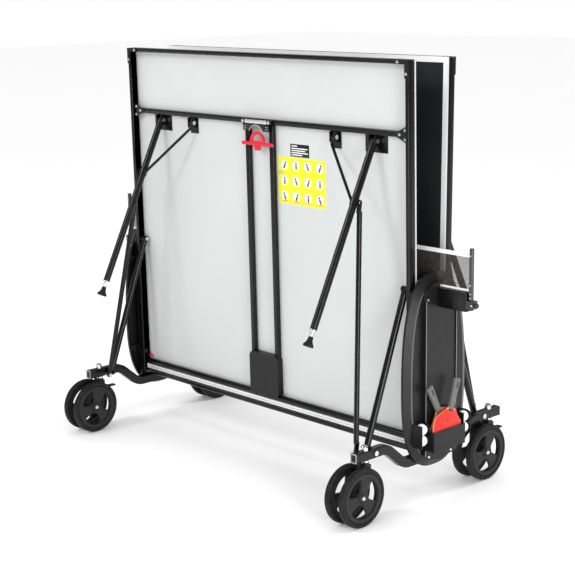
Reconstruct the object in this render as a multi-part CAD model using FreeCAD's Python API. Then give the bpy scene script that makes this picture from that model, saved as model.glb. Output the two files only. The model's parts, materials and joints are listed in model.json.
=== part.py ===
import FreeCAD, Part
import math
import os

# A folding outdoor ping pong table, stored upright on its wheeled chassis.
# Millimetres, +X along the net, +Y from the near half to the far half, +Z up.
# Every builder below works about the net plane (y = 0) on the floor (z = 0); save_all() then
# moves the finished pieces so that the origin is the middle of the footprint.

# --- table top halves -------------------------------------------------------------------------
top_width = 1525.0
half_length = 1370.0
panel_thickness = 6.0
apron_width = 15.0
apron_depth = 34.0
frame_wall = 1.5
fold_lean = 0.8                    # degrees that a folded half leans outwards

# --- guide pins that carry each half in the posts ---------------------------------------------
pin_from_net_end = 93.0
pin_depth = 32.0                   # below the playing face
pin_y = 97.0
pin_radius = 6.0
pin_head = 3.0
pin_head_rim = 3.0                 # how far the pin's head stands past the pin
running_fit = 0.05                 # radial clearance of every turning pin
hole_clearance = 0.2               # radial clearance of fixed bolts

# --- frame under each half --------------------------------------------------------------------
frame_tube = 20.0
outer_band = 253.0                 # from the outer end to the cross tube's centre line
centre_tube_x = 66.0
hinge_bar_v = 48.0
hinge_bar_radius = 12.0
cover_half_width = 80.0
cover_v = (62.0, 217.0)
cover_depth = 28.0
cover_wall = 3.0
cover_corner = 22.0
cover_lip = 12.0
tube_foot_gap = 1.0                # between the cover's edge and the feet of the centre tubes
corner_cap_arm = 62.0
cap_thickness = 2.5
gusset_reach = 32.0
gusset_screw_inset = 10.0
gusset_screw_v = 16.0
gusset_tip_inset = 36.0
cap_screw_place = 0.75             # share of the cap's arm

# --- latch ------------------------------------------------------------------------------------
latch_bar_half = 81.0
latch_bar_height = 16.0
latch_plate_depth = 3.0
latch_plate_height = 27.0
latch_arch_radius = 40.0
latch_arch_drop = 19.0             # the arch's centre, below the plate's edge
latch_arch_inset = 9.0
latch_stud_inset = 10.0
handle_drop = 84.0                 # from the cross tube down to the handle's bar
handle_half = 86.0
handle_bar_height = 14.0
handle_thickness = 10.0
handle_ring_radius = 41.0
handle_ring_width = 14.0
handle_tail_half = 15.0
handle_tail = 18.0
handle_travel = 12.0
handle_gap = 1.0
pull_rod_radius = 3.5
pull_rod_foot_v = 120.0
pull_rod_top = 8.0                 # past the handle's bar

# --- legs -------------------------------------------------------------------------------------
leg_inset = 175.5                  # from the side of the table
leg_radius = 13.0
leg_length = 750.0
leg_fold_angle = 27.0              # degrees away from the underside when folded
leg_boss_trim = 1.0                # the pivot boss is this much slimmer than the tube
foot_radius = 19.0
foot_height = 34.0
foot_neck = 26.0
foot_sole = 6.0
foot_plug = 3.0
foot_overlap = 12.0                # of the neck inside the tube
foot_neck_trim = 4.0
bell_top_share = 0.45
brace_inset = 369.5
brace_radius = 5.5
brace_reach = 225.0
brace_straight = 27.0              # the brace clears its bracket before it turns to the leg
brace_sink = 3.0                   # of the brace's end in the collar
collar_wall = 2.5
collar_width = 26.0
bracket_plate = 2.5
ear_thickness = 3.5
bracket_foot = 42.0                # from the pivot to the bracket's lower edge
ear_foot = 18.0
ear_rim = 12.0                     # of the ear past the pivot
wide_bracket = 105.0
narrow_bracket = 46.0
bracket_side_gap = 0.5
boss_gap = 0.5                     # between a pivot boss and its bracket's plate
pivot_room = 9.0                   # between a pivot boss and the cross tube
leg_bolt_radius = 5.0
bolt_head = 3.0
bolt_head_rim = 3.0
brace_eye = 8.0                    # half the width of the eye
eye_trim = 3.0                     # the eye is this much slimmer than the leg tube

# --- arms and rods of the folding linkage -----------------------------------------------------
arm_radius = 12.0
arm_side_gap = 4.0                 # between an arm and its side beam
arm_top_v = 580.0
arm_top_depth = 22.0
arm_foot_y = -294.0
rod_radius = 9.5
rod_side_gap = 0.5                 # between a rod and the arm beside it
rod_collar_gap = 6.5
rod_foot_y = -321.0
rod_foot_drop = 6.0                # below the arm's foot
tongue_thickness = 6.0
tongue_length = 36.0
tongue_overlap = 6.0
pivot_bolt_radius = 5.0
pivot_side_gap = 1.0
stud_nut = 5.0
arm_bolt_proud = 1.0               # of the beam's bolt past the beam, short of the arm
arm_bolt_rim = 4.0

# --- chassis ----------------------------------------------------------------------------------
beam_width = 30.0
beam_height = 35.0
beam_wall = 2.0
beam_end_y = 385.0
beam_dip = 78.0                    # the beam's middle hangs this far below its ends
beam_over_wheels = 10.5
beam_knee_y = (140.0, 232.0)
beam_bend_radius = 70.0
end_cap_thickness = 4.0
end_cap_plug = 14.0
tie_tube = 25.0
tie_inset = 5.0
post_width = 30.0
post_depth = 11.0
post_tuck = 3.87                   # of a post's outer top corner past the shield's outline
post_wall = 1.5
post_gap = 1.5                     # between a table top half and the posts
post_mouth_room = 1.0
half_over_beam = 17.5              # between the beam's dip and the net end of a half
block_height = 50.0
block_play = 1.0
block_side_play = 0.5
strap_height = 24.0
strap_thickness = 3.0
strap_room = 1.0                   # between a strap's end and the shield's wall
strap_up = (122.5, 512.5)          # above the foot of the posts

# --- ball channels, bat pocket, bats and balls -------------------------------------------------
ball_radius = 20.0
ball_room = 0.6
ball_stack_gap = 0.4
ball_up = 123.0                    # lower ball above the shield's lowest point
holder_wall = 3.0
holder_lip = 22.0                  # of a channel's wall past the balls' centres
holder_floor_lip = 6.0
lobe_trim = 1.0
pocket_up = 77.0
pocket_height = 73.0
pocket_depth = 46.0
pocket_room = 2.0
blade_radius = 75.0
blade_thickness = 8.0
blade_y = 4.0
blade_seat = 1.0
handle_length = 100.0
handle_root = 12.0                 # of the handle inside the blade's edge
bat_handle_width = 26.0
bat_handle_thickness = 18.0
bat_gap = 1.5
bat_tilt = (-18.0, 28.0)           # degrees from upright, outer bat and inner bat

# --- side shields -----------------------------------------------------------------------------
shield_drop = 32.0                 # below the centre line of the beam's dip
shield_height = 704.0
shield_wide_up = 302.0             # where it is widest, above its lowest point
shield_roundness = 2.6             # exponent of the superellipse outline
shield_rim = 9.0
shield_rise = 16.0
shield_slope = 26.0
shield_wall = 3.0
shield_spine_rise = 12.0
shield_channel_room = 4.4          # between a ball channel and the sloping edge
spine_channel_room = 7.4           # between the spine and a ball channel
spine_inset = 29.0
ridge_inset = 6.0
ridge_width = 4.0
ridge_rise = 4.0
net_slit = 12.0
low_screws = (59.0, 47.0)          # y either side, height above the lowest point
high_screws = (68.0, 87.0)         # y either side, depth below the top

# --- net --------------------------------------------------------------------------------------
net_post_reach = 171.0             # outside the side beam
net_post_radius = 8.0
net_post_low = 6.0                 # the post's foot above the net arm's lower edge
net_post_tip = 17.0                # the post's top above the net
net_height = 134.0
net_thickness = 2.0
net_over_arm = 1.0
net_arm_depth = 32.0
net_arm_height = 69.0
net_arm_drop = 51.0                # the arm's upper edge below the shield's top
net_arm_wall = 2.5
net_arm_end_gap = 2.0
clamp_half = 14.0
clamp_up = 12.0
clamp_height = 28.0
clamp_rim = 8.0
clamp_screw_radius = 7.0
clamp_screw_length = 13.0

# --- casters ----------------------------------------------------------------------------------
stem_y = 335.0
stem_radius = 6.0
stem_collar_radius = 15.0
stem_collar_height = 6.0
stem_collar_gap = 1.0
wheel_radius = 105.0
wheel_trail = 50.0
tyre_depth = 17.0
wheel_width = 24.0
wheel_gap = 42.0
wheel_bore_fit = 0.02
rim_depth = 13.0
hub_radius = 19.0
web_thickness = 9.0
window_angle = 84.0
window_rim = 2.0
window_hub = 5.0
axle_radius = 5.0
axle_head_radius = 8.0
axle_head = 3.0
axle_end = 1.0
fork_half = 18.0
fork_cheek_trim = 2.0
fork_hub_radius = 16.0
fork_hub_height = 56.5
fork_boss_radius = 18.0
clip_radius = 9.0
clip_thickness = 2.0
clip_room = 1.5
nut_radius = 13.0
nut_height = 8.0
pedal_y = 27.0                     # the pedal's pin, from the stem
pedal_up = 15.0                    # and above the foot of the fork's hub
pedal_reach = 50.0
pedal_half = 13.0
pedal_thickness = 4.0
pedal_pin_radius = 3.0
pedal_ear_half = 6.0
pedal_ear_radius = 7.0
pedal_cheek = 5.0
pedal_cheek_half = 4.0
pedal_cheek_reach = 14.0
pedal_tread_start = 10.0

# --- fasteners --------------------------------------------------------------------------------
screw_radius = 5.0
screw_height = 2.5
screw_dome = 1.0

V = FreeCAD.Vector
X_AXIS = V(1, 0, 0)
Z_AXIS = V(0, 0, 1)
ORIGIN = V(0, 0, 0)
SIDES = {"near": 0.0, "far": 180.0}
nodes = {}

CUT = 1.0                          # how far a cutting tool runs past the faces that it opens

# Places that several pieces share: across the table.
rail_x = top_width / 2 - apron_width
beam_outer = top_width / 2 + post_gap + post_depth
beam_inner = beam_outer - beam_width
beam_x = (beam_inner + beam_outer) / 2
leg_x = top_width / 2 - leg_inset
brace_x = top_width / 2 - brace_inset
collar_radius = leg_radius + collar_wall
arm_x = beam_inner - arm_side_gap - arm_radius
rod_foot_x = arm_x - arm_radius - rod_side_gap - rod_radius
rod_top_x = leg_x + collar_radius + rod_collar_gap + tongue_thickness / 2
shield_x = beam_outer
shield_face_x = shield_x + shield_rim + shield_rise
spine_x = shield_face_x + shield_spine_rise
ball_x = shield_face_x + holder_wall + ball_radius + ball_room
net_post_x = beam_outer + net_post_reach

# Under a half: v from the net end, depth below the playing face.
under = panel_thickness
apron_face = panel_thickness + apron_depth
cross_tube_v = half_length - outer_band
cross_tube_low = cross_tube_v - frame_tube / 2
handle_v = cross_tube_v - handle_drop
leg_boss_radius = leg_radius - leg_boss_trim
leg_pivot_depth = under + bracket_plate + boss_gap + leg_boss_radius
leg_pivot_v = cross_tube_low - pivot_room - leg_boss_radius

# Along Y: the pocket holds a blade, the channels stand beside it, the shield carries them all.
pocket_half = blade_radius + blade_y + pocket_room + holder_wall
shield_spine_half = pocket_half - holder_wall
channel_half = ball_radius + ball_room + holder_wall
ball_channel_y = shield_spine_half + spine_channel_room + channel_half
shield_half_width = ball_channel_y + channel_half + shield_channel_room + shield_slope

# Heights: the wheels carry the beam's ends, and the beam's dip carries the rest.
axle_y = -wheel_trail
axle_z = wheel_radius
beam_high_z = 2 * wheel_radius + beam_over_wheels + beam_height / 2
beam_low_z = beam_high_z - beam_dip
beam_low_top = beam_low_z + beam_height / 2
beam_bottom = beam_high_z - beam_height / 2
beam_top = beam_high_z + beam_height / 2
fork_hub_top = beam_bottom - stem_collar_height - stem_collar_gap
fork_hub_foot = fork_hub_top - fork_hub_height
pedal_z = fork_hub_foot + pedal_up
pin_z = beam_low_top + half_over_beam + pin_from_net_end
arm_foot = (arm_foot_y, beam_high_z)
rod_foot = (rod_foot_y, beam_high_z - rod_foot_drop)
shield_bottom_z = beam_low_z - shield_drop
shield_top_z = shield_bottom_z + shield_height
shield_wide_z = shield_bottom_z + shield_wide_up
ball_low_z = shield_bottom_z + ball_up
pocket_low = shield_bottom_z + pocket_up
pocket_top = pocket_low + pocket_height
net_arm_top = shield_top_z - net_arm_drop
net_arm_low = net_arm_top - net_arm_height
net_low = net_arm_top + net_over_arm
net_top = net_low + net_height
clamp_low = net_arm_low + clamp_up
clamp_top = clamp_low + clamp_height


# --- helpers ----------------------------------------------------------------------------------
def box(x0, x1, y0, y1, z0, z1):
    """A block between two corners, in any order along Y."""
    return Part.makeBox(x1 - x0, abs(y1 - y0), z1 - z0, V(x0, min(y0, y1), z0))


def rod(start, end, radius):
    """A round bar from one point to another."""
    run = end - start
    return Part.makeCylinder(radius, run.Length, start, run)


def x_rod(x0, x1, y, z, radius):
    """A round bar along X."""
    return Part.makeCylinder(radius, x1 - x0, V(x0, y, z), X_AXIS)


def pipe(start, end, radius, wall):
    """A round tube, open at both ends."""
    return rod(start, end, radius).cut(rod(start, end, radius - wall))


def x_tube(x0, x1, outline, wall):
    """A rectangular tube along X, outline = (y0, y1, z0, z1)."""
    y0, y1, z0, z1 = outline
    hole = box(x0 - CUT, x1 + CUT, y0 + wall, y1 - wall, z0 + wall, z1 - wall)
    return box(x0, x1, y0, y1, z0, z1).cut(hole)


def mirror_x(shape):
    """The same piece on the other side of the table."""
    return shape.mirror(ORIGIN, X_AXIS)


def both_sides(shapes):
    """Each piece and its twin on the left."""
    return shapes + [mirror_x(shape) for shape in shapes]


def turned(shape, angle):
    """A copy turned about the vertical axis through the origin."""
    copy = shape.copy()
    copy.rotate(ORIGIN, Z_AXIS, angle)
    return copy


def moved(shape, x, y, z):
    """A copy moved along the three axes."""
    copy = shape.copy()
    copy.translate(V(x, y, z))
    return copy


def place_y(depth):
    """Y of a depth below the near playing face, with the half upright."""
    return -(pin_y + depth - pin_depth)


def place_z(v):
    """Z of a distance from the near half's net end, with the half upright."""
    return pin_z + v - pin_from_net_end


def lean(shape):
    """The near half's lean, about its guide pins."""
    copy = shape.copy()
    copy.rotate(V(0, -pin_y, pin_z), X_AXIS, fold_lean)
    return copy


def lean_point(x, v, depth):
    """A point given on the near half, after its lean."""
    angle = math.radians(fold_lean)
    dy = place_y(depth) + pin_y
    dz = place_z(v) - pin_z
    y = -pin_y + dy * math.cos(angle) - dz * math.sin(angle)
    z = pin_z + dy * math.sin(angle) + dz * math.cos(angle)
    return V(x, y, z)


def top_box(x0, x1, v0, v1, d0, d1):
    """A block given by its place on the near half: x, v from the net end, depth d."""
    return box(x0, x1, place_y(d0), place_y(d1), place_z(v0), place_z(v1))


def top_tube_x(x0, x1, v0, v1, d0, d1, wall):
    """A rectangular tube along X, under the near half."""
    hole = top_box(x0 - CUT, x1 + CUT, v0 + wall, v1 - wall, d0 + wall, d1 - wall)
    return top_box(x0, x1, v0, v1, d0, d1).cut(hole)


def top_tube_v(x0, x1, v0, v1, d0, d1, wall):
    """A rectangular tube along the length of the near half."""
    hole = top_box(x0 + wall, x1 - wall, v0 - CUT, v1 + CUT, d0 + wall, d1 - wall)
    return top_box(x0, x1, v0, v1, d0, d1).cut(hole)


def top_pin(x0, x1, v, depth, radius):
    """A round bar along X through a place on the near half."""
    return x_rod(x0, x1, place_y(depth), place_z(v), radius)


def depth_pin(x, v, d0, d1, radius):
    """A round bar square to the near half's underside."""
    start = V(x, place_y(d0), place_z(v))
    return rod(start, V(x, place_y(d1), place_z(v)), radius)


def screw(point, direction):
    """A screw's domed head, standing on a face."""
    head = Part.makeCylinder(screw_radius, screw_height, point, direction)
    return head.makeChamfer(screw_dome, [head.Edges[0]])


def top_screw(x, v, depth):
    """A screw's head on the underside of the near half."""
    return screw(V(x, place_y(depth), place_z(v)), V(0, -1, 0))


def tangent_points(a, b, c, radius):
    """Where an arc of a given radius leaves a-b and joins b-c, and its middle point."""
    to_a = (a - b).normalize()
    to_c = (c - b).normalize()
    half_turn = to_a.getAngle(to_c) / 2
    start = b + to_a * (radius / math.tan(half_turn))
    end = b + to_c * (radius / math.tan(half_turn))
    bisector = (to_a + to_c).normalize()
    middle = b + bisector * (radius / math.sin(half_turn) - radius)
    return start, middle, end


def bent_side(path, offset, radius):
    """One side of a bent bar in the YZ plane: straight runs joined by arcs."""
    points = [V(0, y, z) for y, z in path]
    shifted = []
    for i, point in enumerate(points):
        before = (point - points[i - 1]).normalize() if i else None
        after = (points[i + 1] - point).normalize() if i < len(points) - 1 else None
        normals = [V(0, -d.z, d.y) for d in (before, after) if d]
        normal = sum(normals[1:], normals[0])
        normal.normalize()
        shifted.append(point + normal * (offset / normal.dot(normals[0])))
    edges = []
    last = shifted[0]
    for a, b, c in zip(shifted, shifted[1:], shifted[2:]):
        turn = (b - a).cross(c - b).x
        bend = radius + offset if turn < 0 else radius - offset
        start, middle, end = tangent_points(a, b, c, bend)
        edges.append(Part.LineSegment(last, start).toShape())
        edges.append(Part.Arc(start, middle, end).toShape())
        last = end
    edges.append(Part.LineSegment(last, shifted[-1]).toShape())
    return edges, shifted[0], shifted[-1]


def bent_bar(path, height, radius, x0, x1):
    """A solid bar of one height that follows a bent path in the YZ plane."""
    upper, upper_start, upper_end = bent_side(path, height / 2, radius)
    lower, lower_start, lower_end = bent_side(path, -height / 2, radius)
    ends = [Part.LineSegment(upper_end, lower_end).toShape()]
    ends.append(Part.LineSegment(lower_start, upper_start).toShape())
    wire = Part.Wire(Part.__sortEdges__(upper + lower + ends))
    bar = Part.Face(wire).extrude(V(x1 - x0, 0, 0))
    return moved(bar, x0, 0, 0)


# --- table top halves -------------------------------------------------------------------------
def add_half(name, shapes):
    """Save a piece of the near half, leaned, and the same piece turned for the far half."""
    for side, angle in SIDES.items():
        nodes[side + "_" + name] = [turned(lean(shape), angle) for shape in shapes]


def add_linkage(name, shapes):
    """Save pieces that already stand where the leaned near half puts them."""
    for side, angle in SIDES.items():
        nodes[side + "_" + name] = [turned(shape, angle) for shape in shapes]


def make_top():
    half = top_width / 2
    add_half("top_panel", [top_box(-half, half, 0, half_length, 0, under)])
    side = top_tube_v(rail_x, half, 0, half_length, under, apron_face, frame_wall)
    hole = top_pin(rail_x - CUT, half + CUT, pin_from_net_end, pin_depth,
                   pin_radius + running_fit)
    side = side.cut(hole)
    net_end = top_tube_x(-rail_x, rail_x, 0, apron_width, under, apron_face, frame_wall)
    far_v = half_length - apron_width
    outer_end = top_tube_x(-rail_x, rail_x, far_v, half_length, under, apron_face, frame_wall)
    add_half("apron", both_sides([side]) + [net_end, outer_end])


def make_frame_tubes():
    tube_face = under + frame_tube
    low = cross_tube_low
    cross = top_tube_x(-rail_x, rail_x, low, low + frame_tube, under, tube_face, frame_wall)
    x0 = centre_tube_x - frame_tube / 2
    x1 = centre_tube_x + frame_tube / 2
    foot = cover_v[0] + tube_foot_gap
    upright = top_tube_v(x0, x1, foot, low, under, tube_face, frame_wall)
    slot_half = pull_rod_radius + hole_clearance
    slot_low = handle_v - slot_half - CUT
    slot_high = handle_v + handle_travel + slot_half + CUT
    slot = top_box(centre_tube_x - slot_half, centre_tube_x + slot_half, slot_low, slot_high,
                   tube_face - 2 * frame_wall, tube_face + CUT)
    bar = top_pin(-rail_x, rail_x, hinge_bar_v, under + hinge_bar_radius, hinge_bar_radius)
    core = top_pin(-rail_x, rail_x, hinge_bar_v, under + hinge_bar_radius,
                   hinge_bar_radius - frame_wall)
    tubes = [cross, bar.cut(core)] + both_sides([upright.cut(slot)])
    add_half("frame_tubes", tubes)


def make_corner_cap():
    """An L-shaped cap on an outer corner of the apron, and its screws."""
    half = top_width / 2
    face = apron_face + cap_thickness
    inner_v = half_length - apron_width
    cap = top_box(half - corner_cap_arm, half, inner_v, half_length, apron_face, face)
    leg = top_box(rail_x, half, half_length - corner_cap_arm, inner_v, apron_face, face)
    reach = corner_cap_arm * cap_screw_place
    places = ((half - reach, half_length - apron_width / 2),
              (half - apron_width / 2, half_length - reach))
    screws = [top_screw(x, v, face) for x, v in places]
    return [cap.fuse(leg).removeSplitter()] + screws


def make_gusset():
    """A triangular plate where the cross tube meets the side apron, and its screws."""
    tube_face = under + frame_tube
    reach = gusset_reach
    corners = [(rail_x, -reach), (rail_x, reach), (rail_x - 2 * reach, 0)]
    points = [V(x, place_y(tube_face), place_z(cross_tube_v + v)) for x, v in corners]
    plate = Part.Face(Part.makePolygon(points + points[:1])).extrude(V(0, -cap_thickness, 0))
    inner = rail_x - gusset_screw_inset
    places = ((inner, -gusset_screw_v), (inner, gusset_screw_v), (rail_x - gusset_tip_inset, 0))
    return [plate] + [top_screw(x, cross_tube_v + v, tube_face + cap_thickness)
                      for x, v in places]


def make_corner_plates():
    add_half("corner_plates", both_sides(make_corner_cap() + make_gusset()))


def make_lock_cover():
    """A cap with rounded top corners over the feet of the two centre tubes."""
    face = under + cover_depth
    cover = top_box(-cover_half_width, cover_half_width, cover_v[0], cover_v[1], under, face)
    corners = [e for e in cover.Edges if e.Length == face - under
               and e.BoundBox.ZMin > place_z(cover_v[1]) - CUT]
    cover = cover.makeFillet(cover_corner, corners)
    inner = top_box(-cover_half_width + cover_wall, cover_half_width - cover_wall,
                    cover_v[0] - CUT, cover_v[1] - cover_wall, under - CUT, face - cover_wall)
    deep = face - cover_wall - under + CUT
    tops = [e for e in inner.Edges if abs(e.Length - deep) < 0.01
            and e.BoundBox.ZMin > place_z(cover_v[1] - cover_wall) - CUT]
    inner = inner.makeFillet(cover_corner - cover_wall, tops)
    cover = cover.cut(inner)
    gap = hole_clearance
    for x in (-centre_tube_x, centre_tube_x):
        notch = top_box(x - frame_tube / 2 - gap, x + frame_tube / 2 + gap,
                        cover_v[1] - cover_corner, cover_v[1] + CUT, under - CUT,
                        under + frame_tube + gap)
        cover = cover.cut(notch)
    lip = top_box(-cover_half_width, cover_half_width, cover_v[0] - cover_lip, cover_v[0],
                  face - cover_wall, face)
    add_half("lock_cover", [cover.fuse(lip).removeSplitter()])


def make_latch():
    """A bar across the centre tubes with an arched plate below it, on two studs."""
    tube_face = under + frame_tube
    back = apron_face - latch_plate_depth
    low = cross_tube_v - latch_bar_height / 2
    high = cross_tube_v + latch_bar_height / 2
    bar = top_box(-latch_bar_half, latch_bar_half, low, high, back, apron_face)
    half = latch_bar_half - latch_arch_inset
    foot = low - latch_plate_height
    plate = top_box(-half, half, foot, low, back, apron_face)
    arch = plate.cut(depth_pin(0, foot - latch_arch_drop, back - CUT, apron_face + CUT,
                               latch_arch_radius))
    studs = []
    for x in (-latch_bar_half + latch_stud_inset, latch_bar_half - latch_stud_inset):
        studs.append(depth_pin(x, cross_tube_v, tube_face, back, screw_radius))
        studs.append(top_screw(x, cross_tube_v, apron_face))
    add_half("latch_plate", [bar, arch] + studs)


def make_latch_handle():
    """A D-shaped pull on a crossbar, and the two rods that it lifts inside the centre tubes."""
    d0 = under + frame_tube + handle_gap
    d1 = d0 + handle_thickness
    top = handle_v + handle_bar_height / 2
    low = handle_v - handle_bar_height / 2
    crossbar = top_box(-handle_half, handle_half, low, top, d0, d1)
    ring = depth_pin(0, top, d0, d1, handle_ring_radius)
    reach = handle_ring_radius
    ring = ring.cut(depth_pin(0, top, d0 - CUT, d1 + CUT, reach - handle_ring_width))
    ring = ring.common(top_box(-reach, reach, top, top + reach, d0, d1))
    tail = top_box(-handle_tail_half, handle_tail_half, low - handle_tail, low, d0, d1)
    handle = crossbar.fuse([ring, tail]).removeSplitter()
    depth = under + frame_tube / 2
    start = V(centre_tube_x, place_y(depth), place_z(pull_rod_foot_v))
    end = V(centre_tube_x, place_y(depth), place_z(handle_v + pull_rod_top))
    pull = rod(start, end, pull_rod_radius)
    stub = depth_pin(centre_tube_x, handle_v, depth, d0, pull_rod_radius - hole_clearance)
    add_half("latch_handle", [handle] + both_sides([pull.fuse(stub)]))


def bracket(x, width, ear_gap, bolt_radius):
    """A U bracket: a plate on the underside and two ears for a pivot bolt."""
    v0 = leg_pivot_v - bracket_foot
    face = under + bracket_plate
    plate = top_box(x - width / 2, x + width / 2, v0, cross_tube_low, under, face)
    inner = ear_gap / 2 + bracket_side_gap
    outer = inner + ear_thickness
    ears = []
    for x0, x1 in ((x - outer, x - inner), (x + inner, x + outer)):
        ears.append(top_box(x0, x1, leg_pivot_v - ear_foot, cross_tube_low, face,
                            leg_pivot_depth + ear_rim))
    part = plate.fuse(ears).removeSplitter()
    return part.cut(top_pin(x - width, x + width, leg_pivot_v, leg_pivot_depth,
                            bolt_radius + hole_clearance))


def make_leg_brackets():
    wide = bracket(leg_x, wide_bracket, 2 * leg_radius, leg_bolt_radius)
    narrow = bracket(brace_x, narrow_bracket, 2 * brace_eye, leg_bolt_radius)
    add_half("leg_brackets", both_sides([wide, narrow]))


def headed_pin(x0, x1, v, depth, radius):
    """A pivot bolt with a thin head at each end."""
    pin = top_pin(x0, x1, v, depth, radius)
    return pin.fuse([top_pin(x0 - bolt_head, x0, v, depth, radius + bolt_head_rim),
                     top_pin(x1, x1 + bolt_head, v, depth, radius + bolt_head_rim)])


def make_pivot_bolts():
    """The bolts that the legs, braces and arms turn on."""
    reach = bracket_side_gap + ear_thickness
    leg = headed_pin(leg_x - leg_radius - reach, leg_x + leg_radius + reach, leg_pivot_v,
                     leg_pivot_depth, leg_bolt_radius)
    brace = headed_pin(brace_x - brace_eye - reach, brace_x + brace_eye + reach, leg_pivot_v,
                       leg_pivot_depth, leg_bolt_radius)
    start = arm_x - arm_radius - pivot_side_gap
    arm = top_pin(start, rail_x, arm_top_v, arm_top_depth, pivot_bolt_radius)
    arm = arm.fuse(top_pin(start - bolt_head, start, arm_top_v, arm_top_depth,
                           pivot_bolt_radius + bolt_head_rim))
    add_half("pivot_bolts", both_sides([leg, brace, arm]))


# --- legs, arms, rods -------------------------------------------------------------------------
def leg_direction():
    """The folded leg's direction in the YZ plane, from pivot to foot."""
    angle = math.radians(leg_fold_angle - fold_lean)
    return V(0, -math.sin(angle), -math.cos(angle))


def leg_point(x, along):
    """A point at a distance along the folded leg."""
    pivot = lean_point(0, leg_pivot_v, leg_pivot_depth)
    return V(x, pivot.y, pivot.z) + leg_direction() * along


def x_bore(shape, point, reach, radius):
    """The shape with a hole along X through a point."""
    return shape.cut(x_rod(point.x - reach, point.x + reach, point.y, point.z, radius))


def make_leg(foot_start):
    """A leg tube with a solid boss where it turns."""
    pivot = leg_point(leg_x, 0)
    tube = pipe(pivot, leg_point(leg_x, foot_start), leg_radius, frame_wall)
    boss = x_rod(leg_x - leg_radius, leg_x + leg_radius, pivot.y, pivot.z, leg_boss_radius)
    return x_bore(tube.fuse(boss), pivot, 2 * leg_radius, leg_bolt_radius + running_fit)


def make_brace():
    """A bar from its own pivot to a collar round the leg."""
    pivot = leg_point(brace_x, 0)
    eye = x_rod(brace_x - brace_eye, brace_x + brace_eye, pivot.y, pivot.z,
                leg_radius - eye_trim)
    bend = leg_point(brace_x, brace_straight)
    end = leg_point(leg_x - collar_radius + brace_sink, brace_reach)
    brace = eye.fuse([rod(pivot, bend, brace_radius), Part.makeSphere(brace_radius, bend),
                      rod(bend, end, brace_radius)])
    brace = x_bore(brace, pivot, 2 * brace_eye, leg_bolt_radius + running_fit)
    middle = leg_point(leg_x, brace_reach)
    run = leg_direction() * (collar_width / 2)
    brace = brace.fuse(rod(middle - run, middle + run, collar_radius))
    return brace.cut(rod(middle - run * 2, middle + run * 2, leg_radius))


def make_foot(foot_start):
    """A plugged neck and a bell with a flat sole."""
    bell_start = leg_point(leg_x, leg_length - foot_height)
    neck = rod(leg_point(leg_x, foot_start - foot_overlap), bell_start,
               leg_radius - frame_wall - foot_neck_trim)
    bell = Part.makeCone(foot_radius * bell_top_share, foot_radius, foot_height - foot_sole,
                         bell_start, leg_direction())
    sole = rod(leg_point(leg_x, leg_length - foot_sole), leg_point(leg_x, leg_length),
               foot_radius)
    plug = rod(leg_point(leg_x, foot_start), leg_point(leg_x, foot_start + foot_plug),
               leg_boss_radius)
    return neck.fuse([bell, sole, plug])


def make_legs():
    foot_start = leg_length - foot_height - foot_neck
    add_linkage("legs", both_sides([make_leg(foot_start)]))
    add_linkage("leg_braces", both_sides([make_brace()]))
    add_linkage("feet", both_sides([make_foot(foot_start)]))


def make_arms():
    """A tube from the apron to the side beam; its lower eye stops short of the beam's bolt."""
    top = lean_point(arm_x, arm_top_v, arm_top_depth)
    foot = V(arm_x, arm_foot[0], arm_foot[1])
    tube = pipe(top, foot, arm_radius, frame_wall)
    bosses = [x_rod(arm_x - arm_radius, arm_x + arm_radius, p.y, p.z, arm_radius)
              for p in (top, foot)]
    arm = tube.fuse(bosses)
    for p in (top, foot):
        arm = x_bore(arm, p, 2 * arm_radius, pivot_bolt_radius + running_fit)
    add_linkage("arms", both_sides([arm]))


def tongue(point, direction, length):
    """A rod's flattened end: a plate with a round eye about a pivot along X."""
    half = rod_radius
    plate = Part.makeBox(tongue_thickness, 2 * half, length,
                         V(-tongue_thickness / 2, -half, 0))
    angle = math.degrees(math.atan2(-direction.y, direction.z))
    plate.rotate(ORIGIN, X_AXIS, angle)
    eye = x_rod(-tongue_thickness / 2, tongue_thickness / 2, 0, 0, half)
    return moved(plate.fuse(eye), point.x, point.y, point.z)


def make_rods():
    """A round rod that slants inwards from the side beam to the leg, with flattened ends."""
    collar = leg_point(rod_top_x, brace_reach)
    foot = V(rod_foot_x, rod_foot[0], rod_foot[1])
    run = (collar - foot).normalize()
    start = foot + run * (tongue_length - tongue_overlap)
    end = collar - run * (tongue_length - tongue_overlap)
    flat = V(0, run.y, run.z).normalize()
    bar = rod(start, end, rod_radius)
    lower = tongue(foot, flat, tongue_length)
    upper = tongue(collar, flat * -1, tongue_length)
    whole = bar.fuse([lower, upper])
    for p in (foot, collar):
        whole = x_bore(whole, p, 2 * rod_radius, pivot_bolt_radius + running_fit)
    add_linkage("rods", both_sides([whole]))


def make_guide_blocks():
    """Sliding blocks in the posts, each with the pin that its half turns on."""
    half = top_width / 2
    x0 = half + post_gap + post_wall + block_side_play
    x1 = beam_outer - post_wall - block_side_play
    inner = post_width / 2 - post_wall - block_play
    block = box(x0, x1, -pin_y - inner, -pin_y + inner,
                pin_z - block_height / 2, pin_z + block_height / 2)
    head_x = rail_x - pin_head
    pin = x_rod(head_x, x0 + CUT, -pin_y, pin_z, pin_radius)
    head = x_rod(head_x - pin_head, head_x, -pin_y, pin_z, pin_radius + pin_head_rim)
    add_linkage("guide_blocks", both_sides([block.fuse([pin, head])]))


# --- chassis ----------------------------------------------------------------------------------
def beam_path():
    """The side beam's centre line: high at the casters, low under the folded halves."""
    knee_low, knee_high = beam_knee_y
    right = [(knee_low, beam_low_z), (knee_high, beam_high_z), (beam_end_y, beam_high_z)]
    left = [(-y, z) for y, z in reversed(right)]
    return left + right


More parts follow.
